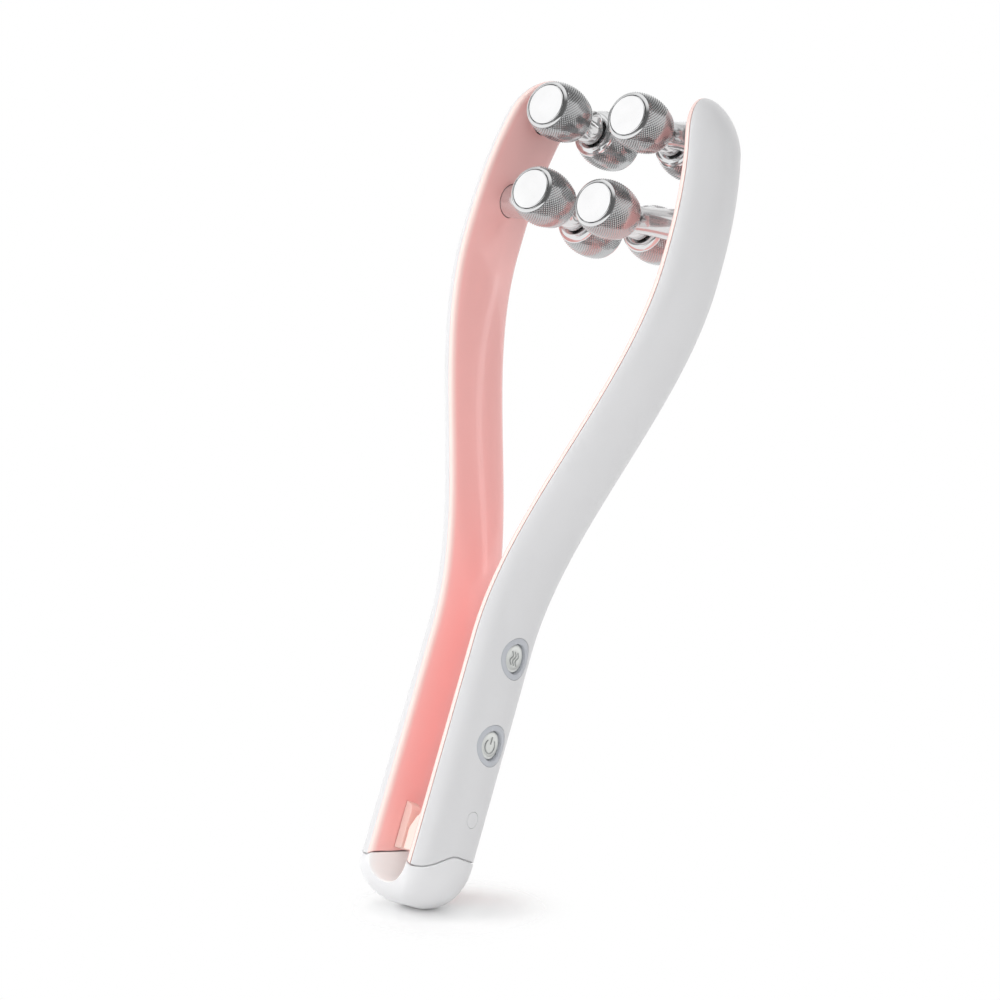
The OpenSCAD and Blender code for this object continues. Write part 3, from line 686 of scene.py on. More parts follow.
@dataclass(frozen=True)
class ArmRule:
    """Sizes and shape rules that both arms and the end cap share."""

    tip_height: float = 242.0
    half_width: float = 12.85
    depth_low: float = 9.7
    depth_high: float = 7.8
    low_face: float = 5.9
    wide_face: float = 34.5
    spread_start: float = 78.0
    spread_length: float = 113.6
    curl_length: float = 48.3
    curl_power: float = 2.4
    tip_curl: float = 8.9
    tip_round: float = 13.4
    tip_focus: float = 0.18
    tip_trim: float = 0.0
    wall: float = 1.5
    liner_depth: float = 1.9
    liner_edge: float = 0.3
    edge_power: float = 14.0
    edge_root: float = 3.0
    crown: float = 1.2
    seam: float = 0.1
    part_front: float = 10.7
    part_rise: float = 5.6
    part_start: float = -12.5
    part_run: float = 10.5
    part_gap: float = 0.38
    part_fade: float = 0.25
    foot_front: float = 11.6
    foot_slope: float = 0.25
    foot_round: float = 0.2
    foot_rises: tuple[float, ...] = (0, 0.04, 0.1, 0.2)
    first_slice: float = 15.4
    level_length: float = 18.0
    body_slices: int = 110
    body_power: float = 1.1
    tip_slices: int = 26
    tip_turn: float = 89.2

    @property
    def shell_base(self) -> float:
        """Distance of the shell's rim behind the liner's rim plane."""
        return self.liner_depth + self.seam

    @property
    def tip_base(self) -> float:
        """Height at which the rounded tip starts."""
        return self.tip_height - self.tip_round

    def face_x(self, z: float) -> float:
        """Return the distance of the liner's rim plane from the centre plane.

        Args:
            z: Height on the arm.

        Returns:
            The distance.
        """
        spread = (self.wide_face - self.low_face) * smooth((z - self.spread_start) / self.spread_length)
        curl = max(0.0, (z - self.tip_height + self.curl_length) / self.curl_length)
        return self.low_face + spread - self.tip_curl * curl ** self.curl_power

    def depth(self, z: float) -> float:
        """Return the depth of the arm's section at a height."""
        return self.depth_low + (self.depth_high - self.depth_low) * z / self.tip_height

    def outer_x(self, y: float, z: float) -> float:
        """Return how far out the shell's surface lies at a place below the rounded tip."""
        share = min(1.0, abs(y) / self.half_width)
        return self.face_x(z) + self.depth(z) * math.sqrt(1 - share * share)

    def tip_share(self, z: float) -> float:
        """Return the share of the full section that is left in the rounded tip."""
        t = max(0.0, (z - self.tip_base) / self.tip_round)
        return math.sqrt(max(0.0, 1 - t * t))

    def part_z(self, y: float, out: float) -> float:
        """Return the height of the parting line.

        Args:
            y: Place along the depth.
            out: Place across the section, 0 at the rim plane and 1 at the back.

        Returns:
            The height, straight along the liner and waved along the shell.
        """
        shell = self.part_front + self.part_rise * smooth((y - self.part_start) / self.part_run)
        slanted = self.foot_front + self.foot_slope * (y + self.half_width)
        liner = min(self.part_front + self.part_rise, slanted)
        return liner + (shell - liner) * smooth(out / self.part_fade)

    def slice_z(self, h: float, y: float, out: float) -> float:
        """Return the height of a point of a slice, which follows the parting line at its foot.

        Args:
            h: Nominal height of the slice.
            y: Place along the depth.
            out: Place across the section, as for part_z.

        Returns:
            The height.
        """
        foot = self.part_z(y, out) + self.part_gap / 2 - self.first_slice
        trim = self.tip_trim * max(0.0, (h - self.tip_base) / self.tip_round)
        return h + foot * (1 - smooth((h - self.first_slice) / self.level_length)) - trim

    def rim_half(self, z: float) -> float:
        """Return the half width of the section where the shell meets the liner."""
        return self.half_width * math.cos(math.asin(self.shell_base / self.depth(z)))

    def bulge(self, share: float) -> float:
        """Return how far out of its rim plane the liner's face lies.

        Args:
            share: Place along the half width, from -1 to 1.

        Returns:
            The distance, below 0 where the face stands out towards the centre plane.
        """
        edge = self.liner_depth - self.liner_edge
        rounding = max(0.0, 1 - abs(share) ** self.edge_power) ** (1 / self.edge_root)
        return edge - (edge + self.crown * (1 - share * share)) * rounding

    def place(self, h: float, x: float, y: float) -> Point:
        """Place a section point in the arm, drawn in towards the rounded tip.

        Args:
            h: Nominal height of the slice.
            x: Distance outwards from the rim plane.
            y: Distance along the depth.

        Returns:
            The point.
        """
        share = self.tip_share(h)
        focus = self.tip_focus * self.depth(h)
        return self.face_x(h) + focus + (x - focus) * share, y * share, self.slice_z(h, y, x / self.depth(h))

    def heights(self) -> list[float]:
        """List the nominal heights of an arm's slices.

        Returns:
            The heights, from the foot to the tip.
        """
        foot = [self.first_slice + rise for rise in self.foot_rises]
        length = self.tip_base - foot[-1]
        body = [foot[-1] + length * (k / self.body_slices) ** self.body_power
                for k in range(1, self.body_slices + 1)]
        tip = [self.tip_base + self.tip_round * math.sin(math.radians(self.tip_turn * k / self.tip_slices))
               for k in range(1, self.tip_slices + 1)]
        return foot + body + tip

    def foot_inset(self, h: float) -> float:
        """Return how far the rounded foot edge draws a section in at a height."""
        t = 1 - min(1.0, (h - self.first_slice) / self.foot_round)
        return self.foot_round * (1 - math.sqrt(max(0.0, 1 - t * t)))


@dataclass
class Arm:
    """One arm: outer shell, liner and stop pad."""

    side: Side
    rule: ArmRule
    finishes: Finishes
    pad_y: float
    pad_top: float
    pad_far: float
    pad_slope: float = 0.0
    pad_width: float = 4.6
    pad_bottom: float = 14.9
    pad_round: float = 1.9
    pad_peak: float = 0.4
    pad_lean: float = 1.6
    pad_sink: float = 0.02
    pad_edge: float = 0.6
    pad_parts: int = 6
    pad_segments: int = 4
    openings: tuple[Pair, ...] = ()
    opening_reach: Pair = (11.5, 20.0)
    stem_heights: Pair = (230.3, 204.6)
    stem_hole_radius: float = 5.05
    stem_hole_reach: Pair = (20.0, 45.0)
    skin_inset: float = 0.05
    lip: float = 0.6
    rebate_height: float = 2.2
    rim_fillet: float = 0.35
    rim_curve: tuple[Pair, ...] = ((1.0, 0.0), (0.62, 0.08), (0.28, 0.3))
    # Where the liner's painted highlight starts and how far it fades in, in millimetres.
    rim_start: float = 0.05
    rim_fade: float = 1.5
    tip_fill: float = 0.97
    fill_start: float = 0.35
    fill_length: float = 0.6
    back_crown: float = 0.15
    arc_parts: int = 43
    liner_parts: int = 56

    @property
    def body(self) -> str:
        """Name of the CAD body that carries the arm."""
        return f"{self.side.word}_arm"

    def _slice(self, h: float, section: Sequence[Pair]) -> list[Point]:
        """Place a section in this arm.

        Args:
            h: Nominal height of the slice.
            section: Pairs of distance along the depth and outwards from the rim plane.

        Returns:
            The points.
        """
        points = [self.rule.place(h, x, y) for y, x in section]
        return [(x * self.side.value, y, z) for x, y, z in points]

    def _outer_row(self, h: float) -> list[Point]:
        """Return the shell's outer row with rounded rims.

        Args:
            h: Nominal height of the slice.

        Returns:
            The points.
        """
        inset = self.rule.foot_inset(h) + self.skin_inset
        deep, wide = self.rule.depth(h) - inset, self.rule.half_width - inset
        base, r = self.rule.shell_base, self.rim_fillet
        rim_y = wide * math.cos(math.asin(base / deep))
        start = math.degrees(math.asin((base + r) / deep))
        lip = [(rim_y - across * r, base + up * r) for across, up in self.rim_curve]
        back = arc((0, 0), (-wide, deep), start, 180 - start, self.arc_parts)
        return self._slice(h, [(-y, x) for y, x in lip] + back + lip[::-1])

    def _inner_row(self, h: float) -> list[Point]:
        """Return the shell's inner row, with as many points as the outer one.

        Args:
            h: Nominal height of the slice.

        Returns:
            The points.
        """
        rule, base = self.rule, self.rule.shell_base
        wall = self.lip if h < rule.first_slice + self.rebate_height else rule.wall
        deep, wide = rule.depth(h) - wall, rule.half_width - wall
        risen = (h - rule.tip_base) / rule.tip_round
        left = 1 - self.tip_fill * smooth((risen - self.fill_start) / self.fill_length)
        start = math.degrees(math.asin(base / deep))
        back = arc((0, 0), (-wide, deep), start, 180 - start, self.arc_parts + 2 * len(self.rim_curve))
        return self._slice(h, [(y, base + (x - base) * left) for y, x in back])

    def build_shell(self) -> None:
        """Make the outer shell and cut its openings."""
        sheet, heights = Sheet(), self.rule.heights()
        sheet.skin([self._outer_row(h) for h in heights], [self._inner_row(h) for h in heights])
        shell = sheet.finish(f"{self.side.word}_shell_skin", self.finishes.get("white"))
        cut(shell, [rod(z, r, self.opening_reach) for z, r in self.openings])
        enter(shell, self.body, f"{self.side.word}_outer_shell")

    def _liner_row(self, h: float, back: bool) -> list[Point]:
        """Return a row of the liner.

        Args:
            h: Nominal height of the slice.
            back: Whether the row lies on the back and not on the crowned face.

        Returns:
            The points.
        """
        inset = self.rule.foot_inset(h)
        half = self.rule.rim_half(h) - inset / 2
        shares = [y for y, _ in arc((0, 0), (-1, 1), 0, 180, self.liner_parts)]
        if back:
            return self._slice(h, [(s * half, self.rule.liner_depth - self.back_crown * (1 - s * s))
                                   for s in shares])
        return self._slice(h, [(s * half, self.rule.bulge(s) + inset) for s in shares])

    def build_liner(self) -> None:
        """Make the crowned liner with its stem holes."""
        sheet, heights = Sheet(), self.rule.heights()
        sheet.skin(*([self._liner_row(h, back) for h in heights] for back in (False, True)))
        liner = sheet.finish(f"{self.side.word}_liner_skin", self.finishes.get("pink"))
        reach = tuple(x * self.side.value for x in self.stem_hole_reach)
        cut(liner, [rod(z, self.stem_hole_radius, reach) for z in self.stem_heights])
        # Painted highlight: the liner's rim is marked to take the pink's paler edge colour.
        mark_rim(liner.data, "POINT", [self._rim_share(v.co / MM) for v in liner.data.vertices])
        enter(liner, self.body, f"{self.side.word}_liner")

    def _rim_share(self, point: Vector) -> float:
        """Return how near a point of the liner lies to its rim, as the share of painted highlight there.

        Args:
            point: The point, in millimetres.

        Returns:
            The share of painted highlight, from 0 inside to 1 at the rim.
        """
        rule = self.rule
        tip = max(0.0, (point.z - rule.tip_base) / rule.tip_round)
        near = math.hypot(point.y / rule.rim_half(min(point.z, rule.tip_height)), tip)
        return 1 - smooth(((1 - near) * rule.half_width - self.rim_start) / self.rim_fade)

    def build_pad(self) -> None:
        """Make the rounded stop pad on the liner."""
        ends = [self.pad_y + way * self.pad_width / 2 for way in (-1, 1)]
        near = max(0.0, abs(self.pad_y) - self.pad_width / 2) / self.rule.half_width
        root = self.rule.low_face + self.rule.bulge(near) - self.pad_sink
        top, far, slope, r = self.pad_top, self.pad_far, self.pad_slope, self.pad_round
        outline = [(root, self.pad_bottom), (far, self.pad_bottom), (far, top - r - self.pad_lean * slope)]
        outline += arc((far + slope + r, top - r), (-r, r), 0, 90, self.pad_parts)[0 if slope else 1:]
        outline.append((root, top + self.pad_peak))
        sheet = Sheet()
        sheet.bar([[(x * self.side.value, y, z) for x, z in outline] for y in ends])
        soft = [edge for edge in sheet.mesh.edges
                if not all(math.isclose(abs(v.co.x), root * MM, abs_tol=CLOSE) for v in edge.verts)]
        bmesh.ops.bevel(sheet.mesh, geom=soft, offset=self.pad_edge * MM, segments=self.pad_segments,
                        profile=0.5, affect="EDGES", clamp_overlap=True)
        pad = sheet.finish(f"{self.side.word}_pad_skin", self.finishes.get("pale_pink"), BLUNT)
        enter(pad, self.body, f"{self.side.word}_stop_pad")

    def build(self) -> None:
        """Make every piece of the arm."""
        self.build_shell()
        self.build_liner()
        self.build_pad()


# ---- end cap -------------------------------------------------------------------------


@dataclass
class EndCap:
    """Rounded end cap with the channel between the arms and the hinge wells."""

    rule: ArmRule
    finishes: Finishes
    power: float = 2.37
    flat_share: float = 0.3
    row_parts: int = 64
    rows_up: int = 40
    rows_across: int = 10
    edge_rows: tuple[Pair, ...] = ((0.22, 0), (0.08, 0.045), (0.02, 0.11), (0, 0.22))
    channel_height: float = 10.6
    channel_top: float = 27.5
    channel_spans: tuple[float, ...] = (0, 0.25, 0.5, 0.75, 0.86, 0.92, 0.96, 0.985, 1, 1.06, 1.5)
    channel_parts: int = 40
    channel_least: float = 0.05
    flare: float = 0.9
    # Margin of the channel's painted light, in millimetres.
    mark_margin: float = 0.1
    well_x: float = 7.15
    well_width: float = 6.1
    well_half_y: float = 6.05
    well_floor: float = 9.7
    well_top: float = 40.0
    port_x: float = 9.6
    port_wide: float = 9.0
    port_thick: float = 3.3
    port_reach: Pair = (-1.0, 11.0)
    port_parts: int = 12
    tongue_outer: float = 0.95
    tongue_inner: float = 1.55
    tongue_rise: float = 1.3
    tongue_foot: float = -0.8
    tongue_start: float = 18.0
    tongue_parts: int = 48

    def _rise(self, share: float) -> float:
        """Return the height share of the outline at a size share."""
        return 1 - (1 - share ** self.power) ** (1 / self.power)

    def _lift(self, share: float) -> float:
        """Return the height share, with the base flat at zero."""
        low = self._rise(self.flat_share)
        return (self._rise(share) - low) / (1 - low)

    def _section(self, inset: float, start: float, parts: int) -> list[Point]:
        """Return the outline from front to rear on the +X side, at its full size.

        Args:
            inset: Distance drawn in from the outline.
            start: Angle left out at both ends, in degrees.
            parts: Number of stretches.

        Returns:
            Place across, place along the depth and share of the way out.
        """
        rule = self.rule
        turn = arc((0, 0), (inset - rule.half_width, 1), start, 180 - start, parts)
        return [(rule.low_face + (rule.depth_low - inset) * out, y, out) for y, out in turn]

    def _row(self, share: float, drop: float, inset: float) -> list[Point]:
        """Return half of the outline at a size share, from front to rear on the +X side.

        Args:
            share: Size share of the outline.
            drop: Distance below the outline's own height.
            inset: Distance drawn in from the outline.

        Returns:
            The points.
        """
        half_gap, lift = self.rule.part_gap / 2, self._lift(share)
        return [(x * share, y * share, (self.rule.part_z(y * share, out) - half_gap) * lift - drop)
                for x, y, out in self._section(inset, 0, self.row_parts)]

    def _half_depth(self, x: float, z: float) -> float:
        """Return how far the cap reaches along Y.

        Args:
            x: Place across, on the channel.
            z: Height, on the channel.

        Returns:
            The distance.
        """
        rule, low = self.rule, self._rise(self.flat_share)
        lift = min(1.0, z / (rule.part_front - rule.part_gap / 2))
        rise = min(1.0, max(0.0, lift * (1 - low) + low))
        share = (1 - (1 - rise) ** self.power) ** (1 / self.power)
        past = max(0.0, (abs(x) - rule.low_face * share) / (rule.depth_low * share))
        return rule.half_width * share * math.sqrt(max(self.channel_least, 1 - past * past))

    def _channel(self) -> bpy.types.Object:
        """Return the cutter of the channel, flared where it leaves the cap.

        Returns:
            The cutter.
        """
        rings = []
        for span in [-s for s in self.channel_spans[:0:-1]] + list(self.channel_spans):
            radius = self.rule.low_face + min(self.flare, self.rule.bulge(max(-1.0, min(1.0, span))))
            ring = [(x, span * self._half_depth(x, z), z) for x, z in
                    arc((0, self.channel_height), (radius, radius), 180, 360, self.channel_parts)]
            start, stop = ((x, y, self.channel_top) for x, y, _ in (ring[0], ring[-1]))
            rings.append([start, *ring, stop])
        sheet = Sheet()
        sheet.bar(rings)
        return sheet.finish("channel_cutter")

    def _well(self, side: Side) -> bpy.types.Object:
        """Return the cutter of one hinge well.

        Args:
            side: Arm that swings there.

        Returns:
            The cutter.
        """
        near, far = self.well_x * side.value, (self.well_x + self.well_width) * side.value
        low, high = self.well_floor, self.well_top
        corners = ((near, low), (far, low), (far, high), (near, high))
        sheet = Sheet()
        sheet.bar([[(x, y, z) for x, z in corners] for y in (-self.well_half_y, self.well_half_y)])
        return sheet.finish("well_cutter")

    def _port(self) -> bpy.types.Object:
        """Return the cutter of the charging slot, round at both ends.

        Returns:
            The cutter.
        """
        half, r = (self.port_wide - self.port_thick) / 2, self.port_thick / 2
        loop = arc((-self.port_x, half), (r, r), 0, 180, self.port_parts)
        loop += arc((-self.port_x, -half), (r, r), 180, 360, self.port_parts)
        sheet = Sheet()
        sheet.bar([[(x, y, z) for x, y in loop] for z in self.port_reach])
        return sheet.finish("port_cutter")

    def _channel_share(self, face: bpy.types.MeshPolygon) -> float:
        """Tell the channel's faces, which get painted light, from all others.

        Args:
            face: Face of the cap.

        Returns:
            1 on the channel, 0 elsewhere.
        """
        x, z = face.center.x / MM, min(0.0, face.center.z / MM - self.channel_height)
        reach = math.hypot(x, z)
        low = self.rule.low_face - self.rule.crown - self.mark_margin
        high = self.rule.low_face + self.flare + self.mark_margin
        inward = -(face.normal.x * x + face.normal.z * z)
        return float(low < reach < high and inward > reach / 2)

    def build_tongue(self) -> None:
        """Make the low walls that stand up inside the feet of both shells, as one piece."""
        outer, inner, foot, rise = self.tongue_outer, self.tongue_inner, self.tongue_foot, self.tongue_rise
        sheet = Sheet()
        for side in Side:
            walls = [[(x * side.value, y, self.rule.part_z(y, out) + up)
                      for x, y, out in self._section(inset, self.tongue_start, self.tongue_parts)]
                     for inset, up in ((outer, foot), (outer, rise), (inner, rise), (inner, foot))]
            sheet.bar(list(zip(*walls)))
        enter(sheet.finish("end_cap_tongue", self.finishes.get("cap_white")), "base")

    def build(self) -> None:
        """Make the cap, close its top and foot with strips, and cut it."""
        steps = [self.flat_share + (1 - self.flat_share) * math.sin(math.radians(90 * k / self.rows_up))
                 for k in range(self.rows_up)]
        half = [self._row(s, 0, 0) for s in steps] + [self._row(1, d, i) for d, i in self.edge_rows]
        sheet = Sheet()
        grid = sheet.loft([row + [(-x, y, z) for x, y, z in reversed(row)] for row in half], ring=True)
        count = self.row_parts + 1
        sheet.strip(grid[0][:count], grid[0][:count - 1:-1])
        near = grid[-1][:count]
        for k in range(self.rows_across - 1, -self.rows_across, -1):
            row = []
            for x, y in ((x * k / self.rows_across, y) for x, y, _ in half[-1]):
                out = max(0.0, (abs(x) - self.rule.low_face) / self.rule.depth_low)
                row.append((x, y, self.rule.part_z(y, out) - self.rule.part_gap / 2))
            far = sheet.row(row)
            sheet.strip(near, far)
            near = far
        sheet.strip(near, grid[-1][:count - 1:-1])
        cap = sheet.finish("end_cap_skin", self.finishes.get("cap_white"))
        cut(cap, [self._channel(), self._port(), *(self._well(side) for side in Side)])
        # Painted light: the channel's faces take the cap's paler colour, brightening the shade between the
        # arms.
        mark_rim(cap.data, "FACE", [self._channel_share(face) for face in cap.data.polygons])
        enter(cap, "base", "end_cap")
        self.build_tongue()


# ---- heads ---------------------------------------------------------------------------


@dataclass(frozen=True)
class RollerSizes:
    """Sizes of one roller along its axle, from the middle of the head."""

    start: float = 4.6
    collar_length: float = 1.4
    collar_face: float = 5.8
    collar_edge: float = 7.0
    collar_lip: tuple[Pair, ...] = ((4.5, 0.25), (4.75, 0.06), (5.0, 0.0))
    centre: float = 12.6
    barrel_radius: float = 8.35
    reach: float = 19.3
    ring_length: float = 1.3
    ring_edge: float = 7.45
    ring_face: float = 6.2
    round_power: float = 1.4
    disc_radius: float = 5.85
    disc_proud: float = 0.149
    disc_round: float = 0.3
    groove_gap: float = 0.2
    groove_depth: float = 1.7
    groove_lip: Pair = (0.1, 0.05)
    core_radius: float = 4.1
    core_end: float = 13.8
    bore_radius: float = 2.05
    knurl_height: float = 0.3
    knurl_around: int = 52
    knurl_margin: float = 0.3
    knurl_step: float = 0.08
    knurl_turn: float = 40.0
    fine_parts: int = 600
    bevel_parts: int = 60
    ground_parts: int = 48
    length_parts: int = 400
    collar_step: int = 10
    ring_step: int = 8
    round_parts: int = 6
    disc_rings: int = 5

    @property
    def crown_start(self) -> float:
        """Distance at which the knurled crown starts."""
        return self.start + self.collar_length

    @property
    def crown_end(self) -> float:
        """Distance at which the knurled crown ends."""
        return self.reach - self.ring_length

    def crown(self, s: float) -> float:
        """Return the crown's radius.

        Args:
            s: Distance along the axle.

        Returns:
            The radius.
        """
        edge, end = ((self.collar_edge, self.crown_start) if s < self.centre
                     else (self.ring_edge, self.crown_end))
        share = (s - self.centre) / (end - self.centre)
        return self.barrel_radius - (self.barrel_radius - edge) * share ** 2

    def rounding(self, degrees: float) -> Pair:
        """Return how far a rounded end has come in and gone along, as shares, at an angle."""
        turned = math.cos(math.radians(degrees)), math.sin(math.radians(degrees))
        return tuple(max(0.0, share) ** self.round_power for share in turned)

    def collar(self, degrees: float) -> Pair:
        """Return the radius and distance of a point on the rounded inner collar."""
        inner, along = self.rounding(degrees)
        return (self.collar_face + (self.collar_edge - self.collar_face) * inner,
                self.crown_start - self.collar_length * along)

    def bevel(self, degrees: float) -> Pair:
        """Return the radius and distance of a point on the rounded outer bevel."""
        inner, along = self.rounding(degrees)
        return (self.ring_face + (self.ring_edge - self.ring_face) * inner,
                self.crown_end + self.ring_length * along)

    def crown_path(self, parts: int) -> list[Pair]:
        """Return the knurled crown as evenly spaced pairs of radius and distance.

        Args:
            parts: Number of stretches.

        Returns:
            The pairs, from the collar to the ring.
        """
        low, high = self.crown_start + self.knurl_margin, self.crown_end
        along = [low + (high - low) * k / self.fine_parts for k in range(self.fine_parts + 1)]
        points = [(self.crown(s), s) for s in along]
        points += [self.bevel(self.knurl_turn * k / self.bevel_parts) for k in range(1, self.bevel_parts + 1)]
        return evenly(points, parts)

    def barrel_profile(self) -> list[Pair]:
        """Return the closed profile of a roller below its knurl.

        Returns:
            Pairs of radius and distance.
        """
        groove, floor = self.disc_radius + self.groove_gap, self.reach - self.groove_depth
        path = self.crown_path(self.ground_parts)
        profile = [(self.bore_radius, self.start + self.collar_lip[0][1])]
        profile += [(radius, self.start + sunk) for radius, sunk in self.collar_lip]
        profile += [self.collar(a) for a in range(90 - self.collar_step, 0, -self.collar_step)]
        profile += [(self.collar_edge, self.crown_start),
                    (path[0][0] - self.knurl_height, self.crown_start + self.knurl_step)]
        profile += beside(path, self.knurl_height)
        past = int(self.knurl_turn + self.ring_step / 2)
        profile += [self.bevel(a) for a in range(past, 90, self.ring_step)]
        profile += [(self.ring_face, self.reach),
                    (groove + self.groove_lip[0], self.reach - self.groove_lip[1]),
                    (groove, self.reach - self.groove_gap), (groove, floor), (self.core_radius, floor),
                    (self.core_radius, self.core_end), (self.bore_radius, self.core_end)]
        return profile

    def disc_profile(self) -> list[Pair]:
        """Return the profile of a mirror disc.

        Returns:
            Pairs of radius and distance.
        """
        top, seat, r = self.reach + self.disc_proud, self.reach - self.groove_depth, self.disc_round
        rim = arc((self.disc_radius - r, top - r), (r, r), 0, 90, self.round_parts)
        face = [(self.disc_radius * k / self.disc_rings, top) for k in range(self.disc_rings - 1, -1, -1)]
        return [(0, seat), (self.disc_radius, seat), *rim, *face]


class KnurlTree(NodeBench):
    """Geometry Nodes tree that sets a four-sided pyramid on every point of a lattice."""

    def __init__(self, material: bpy.types.Material) -> None:
        """Build the tree.

        Args:
            material: Material of the pyramids.
        """
        super().__init__(bpy.data.node_groups.new("knurl_pyramids", "GeometryNodeTree"))
        face = self.tree.interface
        face.new_socket("Lattice", in_out="INPUT", socket_type="NodeSocketGeometry")
        self.height = face.new_socket("Height", in_out="INPUT", socket_type="NodeSocketFloat").identifier
        self.surface = face.new_socket("Finish", in_out="INPUT", socket_type="NodeSocketMaterial").identifier
        face.new_socket("Knurl", in_out="OUTPUT", socket_type="NodeSocketGeometry")
        self._material = material
        self._wire()

    def _attribute(self, name: str) -> bpy.types.NodeSocket:
        """Add a named vector attribute and return its socket."""
        kind = "GeometryNodeInputNamedAttribute"
        return self.node(kind, {"Name": name}, data_type="FLOAT_VECTOR").outputs["Attribute"]

    def _wire(self) -> None:
        """Add the nodes and link them."""
        source = self.node("NodeGroupInput", {}).outputs
        pyramid = {"Vertices": 4, "Radius Top": 0, "Radius Bottom": 1, "Depth": 1}
        cone = self.node("GeometryNodeMeshCone", pyramid, fill_type="NONE")
        turn = self.node("FunctionNodeAxesToRotation",
                         {"Primary Axis": self._attribute("outward"),
                          "Secondary Axis": self._attribute("around")}, primary_axis="Z", secondary_axis="X")
        tall = self.node("ShaderNodeCombineXYZ", {"X": 1, "Y": 1, "Z": source["Height"]})
        size = self.node("ShaderNodeVectorMath", {0: self._attribute("tile"), 1: tall.outputs["Vector"]},
                         operation="MULTIPLY")
        copies = self.node("GeometryNodeInstanceOnPoints",
                           {"Points": source["Lattice"], "Instance": cone.outputs["Mesh"],
                            "Rotation": turn.outputs["Rotation"], "Scale": size.outputs["Vector"]})
        real = self.node("GeometryNodeRealizeInstances", {"Geometry": copies.outputs["Instances"]})
        paint = self.node("GeometryNodeSetMaterial",
                          {"Geometry": real.outputs["Geometry"], "Material": source["Finish"]})
        self.node("NodeGroupOutput", {"Knurl": paint.outputs["Geometry"]})

    def grow(self, name: str, lattice: bpy.types.Mesh, height: float) -> bpy.types.Object:
        """Turn a lattice into a plain mesh of pyramids.

        Args:
            name: Name of the finished object.
            lattice: Points with outward, around and tile attributes.
            height: Height of the pyramids, in metres.

        Returns:
            The finished object.
        """
        made = bpy.data.objects.new(name, lattice)
        bpy.context.scene.collection.objects.link(made)
        step = made.modifiers.new("knurl", "NODES")
        step.node_group = self.tree
        step[self.height] = height
        step[self.surface] = self._material
        evaluate(made)
        made.data.shade_flat()
        return made


